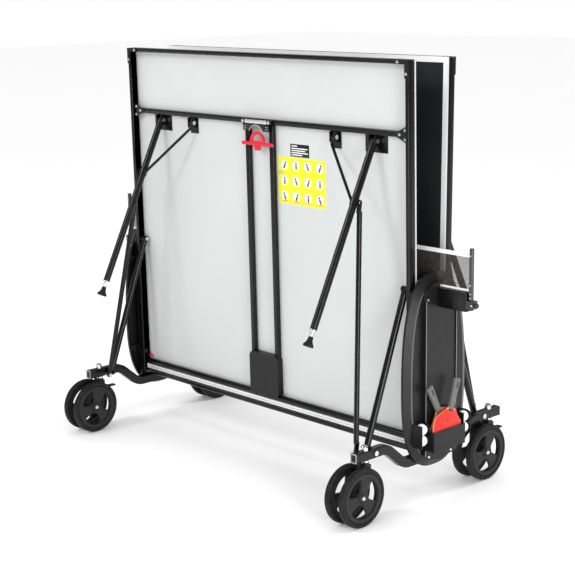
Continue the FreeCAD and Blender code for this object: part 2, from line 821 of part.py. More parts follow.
def make_side_beams():
    path = beam_path()
    beam = bent_bar(path, beam_height, beam_bend_radius, beam_inner, beam_outer)
    bore = bent_bar(path, beam_height - 2 * beam_wall, beam_bend_radius,
                    beam_inner + beam_wall, beam_outer - beam_wall)
    beam = beam.cut(bore)
    for y in (-stem_y, stem_y):
        beam = beam.cut(rod(V(beam_x, y, beam_bottom - CUT), V(beam_x, y, beam_top + CUT),
                            stem_radius + hole_clearance))
    for sign in (-1, 1):
        beam = beam.cut(x_rod(beam_inner - CUT, beam_outer + CUT, -sign * arm_foot[0],
                              arm_foot[1], pivot_bolt_radius + hole_clearance))
    nodes["right_side_beam"] = [beam]
    nodes["left_side_beam"] = [mirror_x(beam)]


def make_end_caps():
    half = beam_height / 2
    caps = []
    for sign in (-1, 1):
        y = sign * beam_end_y
        plate = box(beam_inner, beam_outer, y, y + sign * end_cap_thickness,
                    beam_high_z - half, beam_high_z + half)
        inset = beam_wall + hole_clearance
        plug = box(beam_inner + inset, beam_outer - inset, y, y - sign * end_cap_plug,
                   beam_high_z - half + inset, beam_high_z + half - inset)
        caps.append(plate.fuse(plug))
    nodes["beam_end_caps"] = both_sides(caps)


def make_tie_tube():
    half = tie_tube / 2
    tie = x_tube(tie_inset - beam_outer, beam_outer - tie_inset,
                 (-half, half, beam_low_top, beam_low_top + tie_tube), beam_wall)
    nodes["chassis_tie_tube"] = [tie]


def shield_width_at(z):
    """Half the shield's width at a height, from its superellipse outline."""
    tall = abs((shield_top_z if z > shield_wide_z else shield_bottom_z) - shield_wide_z)
    ratio = min(abs(z - shield_wide_z) / tall, 1.0)
    n = shield_roundness
    return shield_half_width * (1 - ratio ** n) ** (1 / n)


def shield_height_at(width):
    """The height at which the shield's upper outline narrows to half a width."""
    n = shield_roundness
    ratio = (1 - (width / shield_half_width) ** n) ** (1 / n)
    return shield_wide_z + (shield_top_z - shield_wide_z) * ratio


def make_guide_posts():
    """C-shaped posts on the side beam, open towards the table, and the straps behind them."""
    half = top_width / 2
    post_top_z = shield_height_at(pin_y + post_width / 2 - post_tuck)
    x0 = half + post_gap
    x1 = beam_outer
    w = post_width / 2
    posts = []
    for sign in (-1, 1):
        y = sign * pin_y
        post = box(x0, x1, y - w, y + w, beam_low_top, post_top_z)
        bore = box(x0 + post_wall, x1 - post_wall, y - w + post_wall, y + w - post_wall,
                   beam_low_top - CUT, post_top_z + CUT)
        mouth = pin_radius + post_mouth_room
        slot = box(x0 - CUT, x0 + post_wall + CUT, y - mouth, y + mouth,
                   beam_low_top - CUT, post_top_z + CUT)
        posts.append(post.cut(bore).cut(slot))
    for strap in strap_up:
        top = beam_low_top + strap + strap_height / 2
        low = beam_low_top + strap - strap_height / 2
        reach = min(shield_width_at(top), shield_width_at(low)) - shield_wall - strap_room
        posts.append(box(x1, x1 + strap_thickness, -reach, reach, low, top))
    nodes["right_guide_posts"] = posts
    nodes["left_guide_posts"] = [mirror_x(post) for post in posts]


def make_chassis_bolts():
    """Bolts and studs of the linkage on the side beams, and the screws of the shields."""
    pieces = []
    for sign in (-1, 1):
        y, z = -sign * arm_foot[0], arm_foot[1]
        bolt = x_rod(beam_inner - arm_bolt_proud, beam_outer, y, z, pivot_bolt_radius)
        head = x_rod(beam_outer, beam_outer + stud_nut, y, z, pivot_bolt_radius + arm_bolt_rim)
        pieces.append(bolt.fuse(head))
        y, z = -sign * rod_foot[0], rod_foot[1]
        reach = rod_foot_x - tongue_thickness / 2 - pivot_side_gap
        stud = x_rod(reach, beam_inner, y, z, pivot_bolt_radius)
        nut = x_rod(reach - stud_nut, reach, y, z, pivot_bolt_radius + bolt_head_rim)
        pieces.append(stud.fuse(nut))
        low_y, low_up = low_screws
        high_y, high_drop = high_screws
        pieces.append(screw(V(spine_x, sign * low_y, shield_bottom_z + low_up), X_AXIS))
        pieces.append(screw(V(spine_x, sign * high_y, shield_top_z - high_drop), X_AXIS))
    nodes["chassis_bolts"] = both_sides(pieces)


# --- casters ----------------------------------------------------------------------------------
def make_stems():
    stems = []
    nuts = []
    clip_z = fork_hub_foot - clip_room - clip_thickness
    for y in (-stem_y, stem_y):
        stem = rod(V(beam_x, y, clip_z - clip_thickness), V(beam_x, y, beam_top + nut_height),
                   stem_radius)
        collar = rod(V(beam_x, y, beam_bottom - stem_collar_height), V(beam_x, y, beam_bottom),
                     stem_collar_radius)
        clip = rod(V(beam_x, y, clip_z), V(beam_x, y, clip_z + clip_thickness), clip_radius)
        stems.append(stem.fuse([collar, clip]))
        skirt = rod(V(beam_x, y, beam_top), V(beam_x, y, beam_top + nut_height), nut_radius)
        dome = Part.makeSphere(nut_radius, V(beam_x, y, beam_top + nut_height), Z_AXIS, 0, 90, 360)
        nut = skirt.fuse(dome)
        bore = rod(V(beam_x, y, beam_top - CUT), V(beam_x, y, beam_top + nut_height + CUT),
                   stem_radius + hole_clearance)
        nuts.append(nut.cut(bore))
    nodes["caster_stems"] = both_sides(stems + nuts)


def wheel(sign):
    """One wheel of a twin pair: rim, web with three windows, hub. Its axis is Z."""
    low = wheel_gap / 2
    rim_radius = wheel_radius - tyre_depth
    rim = Part.makeCylinder(rim_radius, wheel_width)
    bore = Part.makeCylinder(rim_radius - rim_depth, wheel_width)
    disc = rim.cut(bore)
    web = Part.makeCylinder(rim_radius - rim_depth / 2, web_thickness,
                            V(0, 0, (wheel_width - web_thickness) / 2))
    disc = disc.fuse([web, Part.makeCylinder(hub_radius, wheel_width)])
    outer = rim_radius - rim_depth - window_rim
    inner = hub_radius + window_hub
    for turn in (90, 210, 330):
        window = Part.makeCylinder(outer, wheel_width, ORIGIN, Z_AXIS, window_angle)
        window = window.cut(Part.makeCylinder(inner, wheel_width))
        window.rotate(ORIGIN, Z_AXIS, turn)
        disc = disc.cut(window)
    disc = disc.cut(Part.makeCylinder(axle_radius + wheel_bore_fit, wheel_width))
    tyre = Part.makeCylinder(wheel_radius, wheel_width)
    tyre = tyre.cut(Part.makeCylinder(rim_radius, wheel_width))
    outer_edges = [e for e in tyre.Edges if hasattr(e.Curve, "Radius")
                   and abs(e.Curve.Radius - wheel_radius) < 0.01 and len(e.Vertexes) == 1]
    tyre = tyre.makeFillet(tyre_depth * 0.4, outer_edges)
    placed = []
    for shape in (disc, tyre):
        shape.translate(V(0, 0, low))
        shape.rotate(ORIGIN, V(0, 1, 0), 90 * sign)
        placed.append(shape)
    return placed


def fork_cheek():
    """The housing's flat body, from the stem's hub down to the axle's boss."""
    r = fork_hub_radius
    b = fork_boss_radius
    outline = [(r, fork_hub_top - r / 2), (r, fork_hub_foot - r / 2),
               (axle_y + b * 0.8, axle_z - b * 0.6), (axle_y - b * 0.8, axle_z + b * 0.6),
               (-r * 1.25, fork_hub_top - r * 0.75), (-r * 0.75, fork_hub_top)]
    half = fork_half - fork_cheek_trim
    points = [V(-half, y, z) for y, z in outline]
    return Part.Face(Part.makePolygon(points + points[:1])).extrude(V(2 * half, 0, 0))


def make_fork(braked):
    """The swivel housing between the twin wheels, drawn about its stem."""
    hub = rod(V(0, 0, fork_hub_foot), V(0, 0, fork_hub_top), fork_hub_radius)
    boss_half = fork_half + fork_cheek_trim
    boss = x_rod(-boss_half, boss_half, axle_y, axle_z, fork_boss_radius)
    fork = hub.fuse([fork_cheek(), boss])
    below = V(0, 0, fork_hub_foot - fork_hub_height)
    bore = rod(below, V(0, 0, fork_hub_top + CUT), stem_radius + running_fit)
    if braked:
        ear = box(-pedal_ear_half, pedal_ear_half, 0, pedal_y, pedal_z - pedal_ear_radius,
                  pedal_z + pedal_ear_radius)
        fork = fork.fuse([ear, x_rod(-pedal_ear_half, pedal_ear_half, pedal_y, pedal_z,
                                     pedal_ear_radius)])
        fork = x_bore(fork, V(0, pedal_y, pedal_z), 2 * pedal_ear_half,
                      pedal_pin_radius + running_fit)
    fork = fork.cut(bore)
    fork = fork.cut(rod(below, V(0, 0, fork_hub_foot), clip_radius + clip_room))
    return x_bore(fork, V(0, axle_y, axle_z), 2 * fork_half, axle_radius + running_fit)


def make_pedal():
    """A foot pedal on the stem side of a caster, with its own pin."""
    y, z = pedal_y, pedal_z
    half = pedal_half
    pin = x_rod(-half, half, y, z, pedal_pin_radius)
    cheeks = [box(x, x + pedal_cheek, y - pedal_cheek_half, y + pedal_cheek_reach,
                  z - pedal_cheek_half, z + pedal_cheek_half)
              for x in (-half, half - pedal_cheek)]
    tread = box(-half, half, y + pedal_tread_start, y + pedal_reach, z - pedal_thickness, z)
    tip = [e for e in tread.Edges if abs(e.Length - pedal_thickness) < 0.01
           and e.BoundBox.YMin > y + pedal_reach - CUT]
    tread = tread.makeFillet(half * 0.6, tip)
    return pin.fuse(cheeks + [tread])


def make_casters():
    reach = wheel_gap / 2 + wheel_width + axle_end
    axle = x_rod(-reach, reach, axle_y, axle_z, axle_radius)
    heads = []
    for sign in (-1, 1):
        face = sign * (wheel_gap / 2 + wheel_width)
        heads.append(x_rod(min(face, face + sign * axle_head),
                           max(face, face + sign * axle_head),
                           axle_y, axle_z, axle_head_radius))
    axle = axle.fuse(heads)
    turning = [axle]
    for sign in (-1, 1):
        turning += [moved(shape, 0, axle_y, axle_z) for shape in wheel(sign)]
    corners = {"front_left": (-1, -1), "front_right": (1, -1),
               "back_left": (-1, 1), "back_right": (1, 1)}
    braked = ("front_left", "back_right")
    for name, (sx, sy) in corners.items():
        place = (sx * beam_x, sy * stem_y, 0)
        nodes[name + "_fork"] = [moved(make_fork(name in braked), *place)]
        nodes[name + "_wheels"] = [moved(shape, *place) for shape in turning]
        if name in braked:
            nodes[name + "_pedal"] = [moved(make_pedal(), *place)]


# --- shields and what they carry ---------------------------------------------------------------
def shield_wire(x, inset):
    """The shield's outline at one x, drawn in by an inset."""
    half_turns = 32
    n = shield_roundness
    points = []
    for i in range(half_turns):
        angle = 2 * math.pi * i / half_turns
        across = math.sin(angle)
        up = math.cos(angle)
        tall = (shield_top_z if up > 0 else shield_bottom_z) - shield_wide_z
        tall = abs(tall) - inset
        wide = shield_half_width - inset
        y = math.copysign(abs(across) ** (2 / n), across) * wide
        z = shield_wide_z + math.copysign(abs(up) ** (2 / n), up) * tall
        points.append(V(x, y, z))
    curve = Part.BSplineCurve()
    curve.interpolate(Points=points, PeriodicFlag=True)
    return Part.Wire(curve.toShape())


def shield_form(x0, grow):
    """The shield's outer form (grow 0) or the hollow inside it (grow = wall)."""
    rim = shield_wire(x0, grow)
    shoulder = shield_wire(shield_x + shield_rim - grow / 2, grow)
    face = shield_wire(shield_face_x - grow, shield_slope + grow / 2)
    return Part.makeLoft([rim, shoulder, face], True, True)


def prism(inset, x0, x1):
    """A straight prism of the shield's outline."""
    return Part.Face(shield_wire(x0, inset)).extrude(V(x1 - x0, 0, 0))


def raised_block(y0, y1, top_x, inset):
    """A block on the shield's face, trimmed to the shield's outline."""
    start = shield_face_x - shield_wall
    block = box(start, top_x, y0, y1, shield_bottom_z, shield_top_z)
    return block.common(prism(inset, start, top_x))


def make_shields():
    wall = shield_wall
    shell = shield_form(shield_x, 0)
    half = shield_spine_half
    top_x = spine_x + ridge_rise
    raised = [raised_block(-half, half, spine_x, spine_inset)]
    for y in (-half, half):
        raised.append(raised_block(y - ridge_width / 2, y + ridge_width / 2, top_x,
                                   spine_inset + ridge_inset))
    shell = shell.fuse(raised)
    shell = shell.cut(shield_form(shield_x - CUT, wall))
    hollow = box(shield_face_x - 3 * wall, spine_x - wall, wall - half, half - wall,
                 shield_bottom_z, shield_top_z)
    shell = shell.cut(hollow.common(prism(spine_inset + wall, shield_face_x - 3 * wall, spine_x)))
    slit = box(shield_x - CUT, top_x + CUT, -net_slit / 2, net_slit / 2, net_low - wall,
               shield_top_z + CUT)
    shell = shell.cut(slit)
    nodes["right_shield"] = [shell]
    nodes["left_shield"] = [mirror_x(shell)]


def make_net_set():
    half = net_arm_depth / 2
    arm_end = net_post_x - net_post_radius - net_arm_end_gap
    arm = x_tube(spine_x, arm_end, (-half, half, net_arm_low, net_arm_top), net_arm_wall)
    nodes["net_arms"] = both_sides([arm])
    post = pipe(V(net_post_x, 0, net_arm_low + net_post_low),
                V(net_post_x, 0, net_top + net_post_tip), net_post_radius, frame_wall)
    nodes["net_posts"] = both_sides([post])
    face = net_post_x + net_post_radius + clamp_rim
    clamp = box(arm_end, face, -clamp_half, clamp_half, clamp_low, clamp_top)
    clamp = clamp.cut(rod(V(net_post_x, 0, clamp_low - CUT), V(net_post_x, 0, clamp_top + CUT),
                          net_post_radius + hole_clearance))
    knob = x_rod(face, face + clamp_screw_length, 0, (clamp_low + clamp_top) / 2,
                 clamp_screw_radius)
    nodes["net_clamps"] = both_sides([clamp.fuse(knob)])
    reach = net_post_x - net_post_radius
    nodes["net"] = [box(-reach, reach, -net_thickness / 2, net_thickness / 2, net_low, net_top)]


def ball_channel(y):
    """A channel for a stack of two balls, open outwards; one side wall follows the balls."""
    room = ball_radius + ball_room
    outer = room + holder_wall
    top = ball_low_z + 3 * ball_radius
    low = ball_low_z - room - holder_wall
    back = box(shield_face_x, shield_face_x + holder_wall, y - outer, y + outer, low, top)
    floor = box(shield_face_x, ball_x + holder_floor_lip, y - outer, y + outer,
                low, low + holder_wall)
    near_wall = box(shield_face_x, ball_x + holder_lip, y - outer, y - room, low, top)
    far_wall = box(shield_face_x, ball_x, y + room, y + outer, low, top)
    lobes = []
    for z in (ball_low_z, ball_low_z + 2 * ball_radius):
        lobes.append(Part.makeCylinder(ball_radius - lobe_trim, holder_wall,
                                       V(ball_x, y + room, z), V(0, 1, 0)))
    return back.fuse([floor, near_wall, far_wall] + lobes).removeSplitter()


def make_holders():
    nodes["ball_holders"] = [ball_channel(-ball_channel_y), ball_channel(ball_channel_y)]
    wall = holder_wall
    front = spine_x + pocket_depth
    outer = box(spine_x, front, -pocket_half, pocket_half, pocket_low, pocket_top)
    inner = box(spine_x, front - wall, -pocket_half + wall, pocket_half - wall,
                pocket_low + wall, pocket_top + CUT)
    pocket = outer.cut(inner)
    for y in (-shield_spine_half, shield_spine_half):
        pocket = pocket.cut(box(spine_x - CUT, spine_x + ridge_rise, y - ridge_width / 2,
                                y + ridge_width / 2, pocket_low - CUT, pocket_top + CUT))
    nodes["bat_pocket"] = [pocket]


def make_balls():
    for name, y in (("front_balls", -ball_channel_y), ("back_balls", ball_channel_y)):
        levels = (ball_low_z, ball_low_z + 2 * ball_radius + ball_stack_gap)
        nodes[name] = [Part.makeSphere(ball_radius, V(ball_x, y, z)) for z in levels]


def make_bat(x, y, tilt):
    """A bat: round blade, and a handle that starts inside the blade's edge."""
    centre_z = pocket_low + holder_wall + blade_seat + blade_radius
    blade = x_rod(x - blade_thickness / 2, x + blade_thickness / 2, 0, 0, blade_radius)
    w = bat_handle_width / 2
    t = bat_handle_thickness / 2
    grip = box(x - t, x + t, -w, w, blade_radius - handle_root, blade_radius + handle_length)
    grip = grip.makeFillet(t * 0.7, [e for e in grip.Edges if e.Length > handle_length])
    bat = blade.fuse(grip)
    bat.rotate(ORIGIN, X_AXIS, tilt)
    return moved(bat, 0, y, centre_z)


def make_bats():
    inner_x = spine_x + ridge_rise + bat_gap + bat_handle_thickness / 2
    outer_x = inner_x + bat_handle_thickness + bat_gap
    nodes["outer_bat"] = [make_bat(outer_x, -blade_y, bat_tilt[0])]
    nodes["inner_bat"] = [make_bat(inner_x, blade_y, bat_tilt[1])]


# --- the whole table --------------------------------------------------------------------------
def build():
    make_top()
    make_frame_tubes()
    make_corner_plates()
    make_lock_cover()
    make_latch()
    make_latch_handle()
    make_leg_brackets()
    make_pivot_bolts()
    make_legs()
    make_arms()
    make_rods()
    make_guide_blocks()
    make_side_beams()
    make_end_caps()
    make_tie_tube()
    make_guide_posts()
    make_chassis_bolts()
    make_stems()
    make_casters()
    make_shields()
    make_net_set()
    make_holders()
    make_balls()
    make_bats()


def footprint_middle():
    """Y of the middle of everything, measured from the net plane."""
    every = Part.Compound([shape for shapes in nodes.values() for shape in shapes])
    bounds = every.optimalBoundingBox(False, False)
    return (bounds.YMin + bounds.YMax) / 2


def save_all():
    """Centre the footprint on the origin and write one STEP file for each node."""
    os.makedirs("parts", exist_ok=True)
    shift = -footprint_middle()
    for name, shapes in nodes.items():
        placed = [moved(shape, 0, shift, 0) for shape in shapes]
        whole = placed[0] if len(placed) == 1 else Part.Compound(placed)
        whole.exportStep("parts/" + name + ".step")
    return shift


build()
net_plane_y = save_all()
print("nodes", len(nodes), "net plane y", round(net_plane_y, 3))
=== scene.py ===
# %% [markdown]
# # A folding ping pong table, put away upright
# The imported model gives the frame: every body, every node and every place. This lesson dresses
# it. Hard parts whose form is already right keep their mesh and get a worked finish. Parts that
# need softer edges, openings or a weave are made again here, as surfaces computed with numpy,
# and each rides on its own body.

# %% Load the frame
import json
import math

import bmesh
import bpy
import numpy as np
from mathutils import Matrix, Vector

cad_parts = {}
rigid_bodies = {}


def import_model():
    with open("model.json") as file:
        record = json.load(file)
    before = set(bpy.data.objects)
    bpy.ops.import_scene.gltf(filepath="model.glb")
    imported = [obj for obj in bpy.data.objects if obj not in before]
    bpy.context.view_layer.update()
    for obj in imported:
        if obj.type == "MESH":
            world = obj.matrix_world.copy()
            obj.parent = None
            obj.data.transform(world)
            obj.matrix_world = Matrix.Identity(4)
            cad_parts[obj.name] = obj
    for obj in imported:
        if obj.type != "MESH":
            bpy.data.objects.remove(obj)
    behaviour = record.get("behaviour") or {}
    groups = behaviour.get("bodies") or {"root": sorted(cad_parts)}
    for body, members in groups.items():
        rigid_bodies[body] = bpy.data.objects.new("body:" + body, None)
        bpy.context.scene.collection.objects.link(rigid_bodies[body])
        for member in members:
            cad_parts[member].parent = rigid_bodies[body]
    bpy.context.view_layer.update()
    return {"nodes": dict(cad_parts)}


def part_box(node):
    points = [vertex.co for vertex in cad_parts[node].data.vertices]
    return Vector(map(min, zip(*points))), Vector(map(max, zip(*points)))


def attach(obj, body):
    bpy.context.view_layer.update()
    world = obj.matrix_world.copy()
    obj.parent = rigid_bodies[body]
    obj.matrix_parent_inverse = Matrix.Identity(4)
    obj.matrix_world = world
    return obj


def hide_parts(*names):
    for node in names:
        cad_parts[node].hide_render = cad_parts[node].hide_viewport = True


for leftover in list(bpy.data.objects):
    bpy.data.objects.remove(leftover)
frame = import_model()
nodes = frame["nodes"]

# %% [markdown]
# ## Where things are
# The halves lean a little, so pieces on them are easiest to place by three numbers: x across the
# table, v from the net end, and d below the playing face. The axes of that system come from the
# corners of the near panel. The far half is the near half turned half a turn about the net.
# Sizes, and those three numbers, are in millimetres. Points in space are in metres.

# %% Places on a half
MM = 0.001
X_AXIS, Y_AXIS, Z_AXIS = np.eye(3)


def mesh_points(mesh):
    """All the points of a mesh, as an array."""
    points = np.empty(len(mesh.vertices) * 3, np.float32)
    mesh.vertices.foreach_get("co", points)
    return points.reshape(-1, 3).astype(float)


def box_of(node):
    """The low and the high corner of a CAD node's box, as arrays."""
    return tuple(np.array(corner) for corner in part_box(node))


net_low, net_high = box_of("net")
net_y = (net_low[1] + net_high[1]) / 2
panel = np.unique(np.round(mesh_points(nodes["near_top_panel"].data), 6), axis=0)
panel_edge = panel[panel[:, 0] > 0]
by_height = panel_edge[np.argsort(panel_edge[:, 2])]
net_end = max(by_height[:2], key=lambda point: point[1])
outer_end = max(by_height[2:], key=lambda point: point[1])
half_width = net_end[0] / MM
half_length = float(np.linalg.norm(outer_end - net_end)) / MM
along_v = (outer_end - net_end) / (half_length * MM)
along_d = np.array([0.0, -along_v[2], along_v[1]])
base = net_end * (0, 1, 1)
print("half", round(2 * half_width, 1), "by", round(half_length, 1), "net plane y", round(net_y, 4))


def at(x, v, d):
    """Points on the near half: base + x across + v along it + d below its face, for arrays."""
    x, v, d = np.broadcast_arrays(*(MM * np.asarray(value, float) for value in (x, v, d)))
    return base + x[..., None] * X_AXIS + v[..., None] * along_v + d[..., None] * along_d


# %% [markdown]
# ## Camera
# A long lens from a little above the top rail, off the right-hand end. A long lens keeps the
# upright edges nearly parallel.

# %% Camera
camera_target = np.array([0.655, -0.566, 0.850])
camera_distance = 4.670
camera_azimuth = math.radians(46.5)
camera_elevation = math.radians(12.34)
camera_roll = math.radians(-0.81)

back = np.array([math.sin(camera_azimuth) * math.cos(camera_elevation),
                 -math.cos(camera_azimuth) * math.cos(camera_elevation),
                 math.sin(camera_elevation)])
level_right = np.array([math.cos(camera_azimuth), math.sin(camera_azimuth), 0.0])
level_up = np.cross(back, level_right)
right = level_right * math.cos(camera_roll) + level_up * math.sin(camera_roll)
up = level_up * math.cos(camera_roll) - level_right * math.sin(camera_roll)
camera_data = bpy.data.cameras.new("camera")
camera_data.sensor_width = 36.0
camera_data.lens = 89.6
camera = bpy.data.objects.new("camera", camera_data)
turn = Matrix([[right[i], up[i], back[i]] for i in range(3)]).to_4x4()
camera.matrix_world = Matrix.Translation(Vector(camera_target + back * camera_distance)) @ turn
bpy.context.collection.objects.link(camera)
bpy.context.scene.camera = camera
print("camera at", [round(x, 3) for x in camera.matrix_world.translation])

# %% [markdown]
# ## Finishes
# Every finish is a Principled shader fed by patterns on Object coordinates, so that it stays put
# on its piece: two colours mixed by one noise, a roughness spread by another, and a fine pattern
# turned into bump.

# %% A finish builder


class Finish:
    """A node material: a Principled shader, and the patterns that drive its sockets."""

    def __init__(self, name, roughness=0.5, metallic=0.0, specular=0.5):
        self.material = bpy.data.materials.new(name)
        self.material.use_nodes = True
        self.tree = self.material.node_tree
        self.shader = self.tree.nodes["Principled BSDF"]
        self.shader.inputs["Roughness"].default_value = roughness
        self.shader.inputs["Metallic"].default_value = metallic
        self.shader.inputs["Specular IOR Level"].default_value = specular
        self.place = self.tree.nodes.new("ShaderNodeTexCoord").outputs["Object"]

    def node(self, kind, links, **settings):
        """A new node, its sockets linked or set by name or number."""
        made = self.tree.nodes.new("ShaderNode" + kind)
        for key, value in settings.items():
            setattr(made, key, value)
        for socket, value in links.items():
            if isinstance(value, bpy.types.NodeSocket):
                self.tree.links.new(value, made.inputs[socket])
            else:
                made.inputs[socket].default_value = value
        return made

    def noise(self, scale, detail=3.0, stretch=None):
        """A cloudy pattern, from 0 to 1, drawn out along the axes where a stretch is given."""
        where = self.place
        if stretch:
            where = self.node("Mapping", {"Vector": where, "Scale": stretch}).outputs["Vector"]
        made = self.node("TexNoise", {"Vector": where, "Scale": scale, "Detail": detail})
        return made.outputs["Fac"]

    def cells(self, scale):
        """The distance to scattered points: a pebbled pattern."""
        return self.node("TexVoronoi", {"Vector": self.place, "Scale": scale}).outputs["Distance"]

    def spread(self, value, low, high):
        """The middle of a pattern, from 0.3 to 0.7, spread over low to high."""
        links = {"Value": value, "From Min": 0.3, "From Max": 0.7, "To Min": low, "To Max": high}
        return self.node("MapRange", links).outputs["Result"]

    def colour(self, factor, first, second):
        """Feeds one colour or the other to the shader, by a pattern."""
        mixed = self.node("Mix", {"Factor": factor, 6: first, 7: second}, data_type="RGBA")
        self.tree.links.new(mixed.outputs[2], self.shader.inputs["Base Color"])

    def rough(self, pattern, low, high):
        """Feeds a roughness from low to high to the shader, by a pattern."""
        self.tree.links.new(self.spread(pattern, low, high), self.shader.inputs["Roughness"])

    def bump(self, height, strength, depth):
        """Turns a pattern into bump of a given depth in metres."""
        made = self.node("Bump", {"Height": height, "Strength": strength, "Distance": depth})
        self.tree.links.new(made.outputs["Normal"], self.shader.inputs["Normal"])


def grey(level, warmth=0.0):
    """A grey of one level, a little warmer or cooler."""
    return (level * (1 + warmth), level, level * (1 - warmth), 1.0)


# %% [markdown]
# ### Painted and plated metal
# Powder coat dries with a faint orange-peel skin, so its gloss breaks up softly. Zinc and
# chrome parts are bright metal whose roughness varies in cloudy patches. The silver plate is
# brushed: the same noise stretched along one axis.

# %% Metal finishes


def powder_coat(name, dark, light, roughness):
    """Satin paint: cloudy colour, patchy gloss and a fine orange peel 1.5 mm across."""
    made = Finish(name, specular=0.33)
    made.colour(made.noise(9.0), dark, light)
    made.rough(made.noise(38.0, 4.0), roughness - 0.06, roughness + 0.08)
    made.bump(made.noise(650.0, 2.0), 0.3, 0.00005)
    return made.material


def bright_metal(name, tone, roughness, stretch=None):
    """Plated metal: light and dark patches, with fine scratches along the stretch."""
    made = Finish(name, metallic=1.0)
    made.colour(made.noise(60.0), grey(tone * 0.82), grey(tone))
    made.rough(made.noise(180.0, 3.0, stretch), roughness - 0.07, roughness + 0.1)
    made.bump(made.noise(900.0, 2.0, stretch), 0.2, 0.0001)
    return made.material


black_coat = powder_coat("black_powder_coat", grey(0.0025), grey(0.005), 0.24)
zinc = bright_metal("bright_zinc", 0.82, 0.28)
chrome = bright_metal("polished_chrome", 0.92, 0.12)
silver = bright_metal("brushed_silver", 0.85, 0.34, stretch=(0.08, 1.0, 1.0))
post_paint = powder_coat("grey_post_paint", grey(0.05), grey(0.09), 0.34)
post_paint.node_tree.nodes["Principled BSDF"].inputs["Metallic"].default_value = 0.6
print("metal finishes are ready")

# %% [markdown]
# ### Plastics and rubber
# Moulded plastic has a spark-eroded grain: fine pebbles, which a Voronoi pattern gives. Gloss
# plastic has almost none. Rubber is darker in its low spots and dusty on its high ones.

# %% Plastic finishes


def moulded(name, dark, light, roughness, grain=1400.0, depth=0.0002):
    """Moulded plastic: even colour with slow drift, and a pebbled grain."""
    made = Finish(name, specular=0.33)
    made.colour(made.noise(6.0), dark, light)
    made.rough(made.noise(45.0, 4.0), roughness - 0.05, roughness + 0.08)
    made.bump(made.cells(grain), 0.4, depth)
    return made.material


def soft_rubber(name, dark, light, roughness):
    """Rubber or foamed tread: dusty patches over a matt base."""
    made = Finish(name, specular=0.2)
    made.colour(made.spread(made.noise(55.0, 5.0), 0.0, 1.0), dark, light)
    made.rough(made.noise(120.0, 4.0), roughness - 0.08, roughness + 0.06)
    made.bump(made.noise(420.0, 4.0), 0.5, 0.0003)
    return made.material


black_plastic = moulded("black_moulded_plastic", grey(0.005), grey(0.009), 0.4)
shield_plastic = moulded("charcoal_shield_plastic", grey(0.005), grey(0.01), 0.36, 900.0, 0.0003)
wheel_plastic = moulded("wheel_plastic", grey(0.009), grey(0.016), 0.45)
red_plastic = moulded("red_moulded_plastic", (0.62, 0.01, 0.03, 1), (0.78, 0.02, 0.05, 1), 0.27)
tread_rubber = soft_rubber("soft_tread", grey(0.006), grey(0.018), 0.6)
foot_rubber = soft_rubber("foot_rubber", grey(0.008), grey(0.02), 0.62)
print("plastic finishes are ready")

# %% [markdown]
# ### The table top
# The underside is a pale coated board with a very slow mottle. The playing face is a dark
# low-glare coat, and the lines are a white paint that keeps a trace of brush grain.

# %% Board finishes


def board_coat(name, dark, light, roughness, depth):
    """A coated board: slow mottle, and a fine low-glare grain."""
    made = Finish(name, specular=0.4)
    made.colour(made.spread(made.noise(2.2, 5.0), 0.0, 1.0), dark, light)
    made.rough(made.noise(16.0, 4.0), roughness - 0.05, roughness + 0.05)
    made.bump(made.noise(1500.0, 2.0), 0.3, depth)
    return made.material


underside_coat = board_coat("pale_underside", (0.545, 0.569, 0.562, 1), (0.583, 0.605, 0.598, 1),
                            0.42, 0.0001)
playing_coat = board_coat("dark_playing_coat", grey(0.008, -0.1), grey(0.014, -0.1), 0.5, 0.0002)
line_paint = board_coat("white_line_paint", grey(0.78), grey(0.86), 0.45, 0.0001)
print("board finishes are ready")

# %% [markdown]
# ### Colours of the small things
# The cloth of the net is a brown-grey yarn, its tapes are white webbing, the bats have plywood
# blades and pimpled rubbers, and the stickers are printed film with a light gloss.

# %% Small finishes
wood = Finish("ply_wood", specular=0.4)
wood.colour(wood.noise(14.0, 4.0, (1.0, 8.0, 1.0)), (0.42, 0.24, 0.1, 1), (0.6, 0.4, 0.2, 1))
wood.rough(wood.noise(60.0), 0.42, 0.6)
wood.bump(wood.noise(300.0, 2.0, (1.0, 6.0, 1.0)), 0.3, 0.0002)
ply_wood = wood.material
bat_red = moulded("red_bat_rubber", (0.78, 0.015, 0.012, 1), (0.88, 0.03, 0.02, 1), 0.36, 900.0)
bat_black = soft_rubber("black_bat_rubber", grey(0.006), grey(0.014), 0.5)
grip_grey = moulded("grey_grip", grey(0.11), grey(0.15), 0.45, 700.0)
# white film for the sticker print, and also the painted light of the net-end strips
white_film = board_coat("white_film", grey(0.75), grey(0.84), 0.4, 0.0001)
yellow_film = board_coat("yellow_film", (0.83, 0.78, 0.004, 1), (0.9, 0.85, 0.01, 1), 0.35, 0.0001)
black_film = board_coat("black_film", grey(0.006), grey(0.012), 0.3, 0.0001)
red_film = board_coat("red_film", (0.6, 0.02, 0.02, 1), (0.7, 0.04, 0.03, 1), 0.35, 0.0001)
# a pale grey: the frames of the end caps, and the painted highlights on the shield ridges
trim_grey = moulded("grey_trim", grey(0.3), grey(0.4), 0.35)
# a mid grey that paints the highlight along the shields' slopes
painted_highlight_grey = moulded("painted_highlight_grey", grey(0.09), grey(0.13), 0.3)
ball_plastic = moulded("ball_plastic", grey(0.8), grey(0.86), 0.38, 1100.0, 0.0001)
net_yarn = soft_rubber("net_yarn", (0.035, 0.028, 0.022, 1), (0.075, 0.06, 0.05, 1), 0.7)
tape_cloth = board_coat("white_tape", grey(0.76), grey(0.84), 0.6, 0.0003)
print("small finishes are ready")

# %% [markdown]
# ## Surfaces
# Nearly every part is made in one of three ways. Tube, rail and bar are one profile carried
# along a path. Tyres, hubs, feet and balls are turned about an axis. Brackets and cut-outs are
# flat plate with a soft edge. Each way gives whole arrays of points and the faces between them.

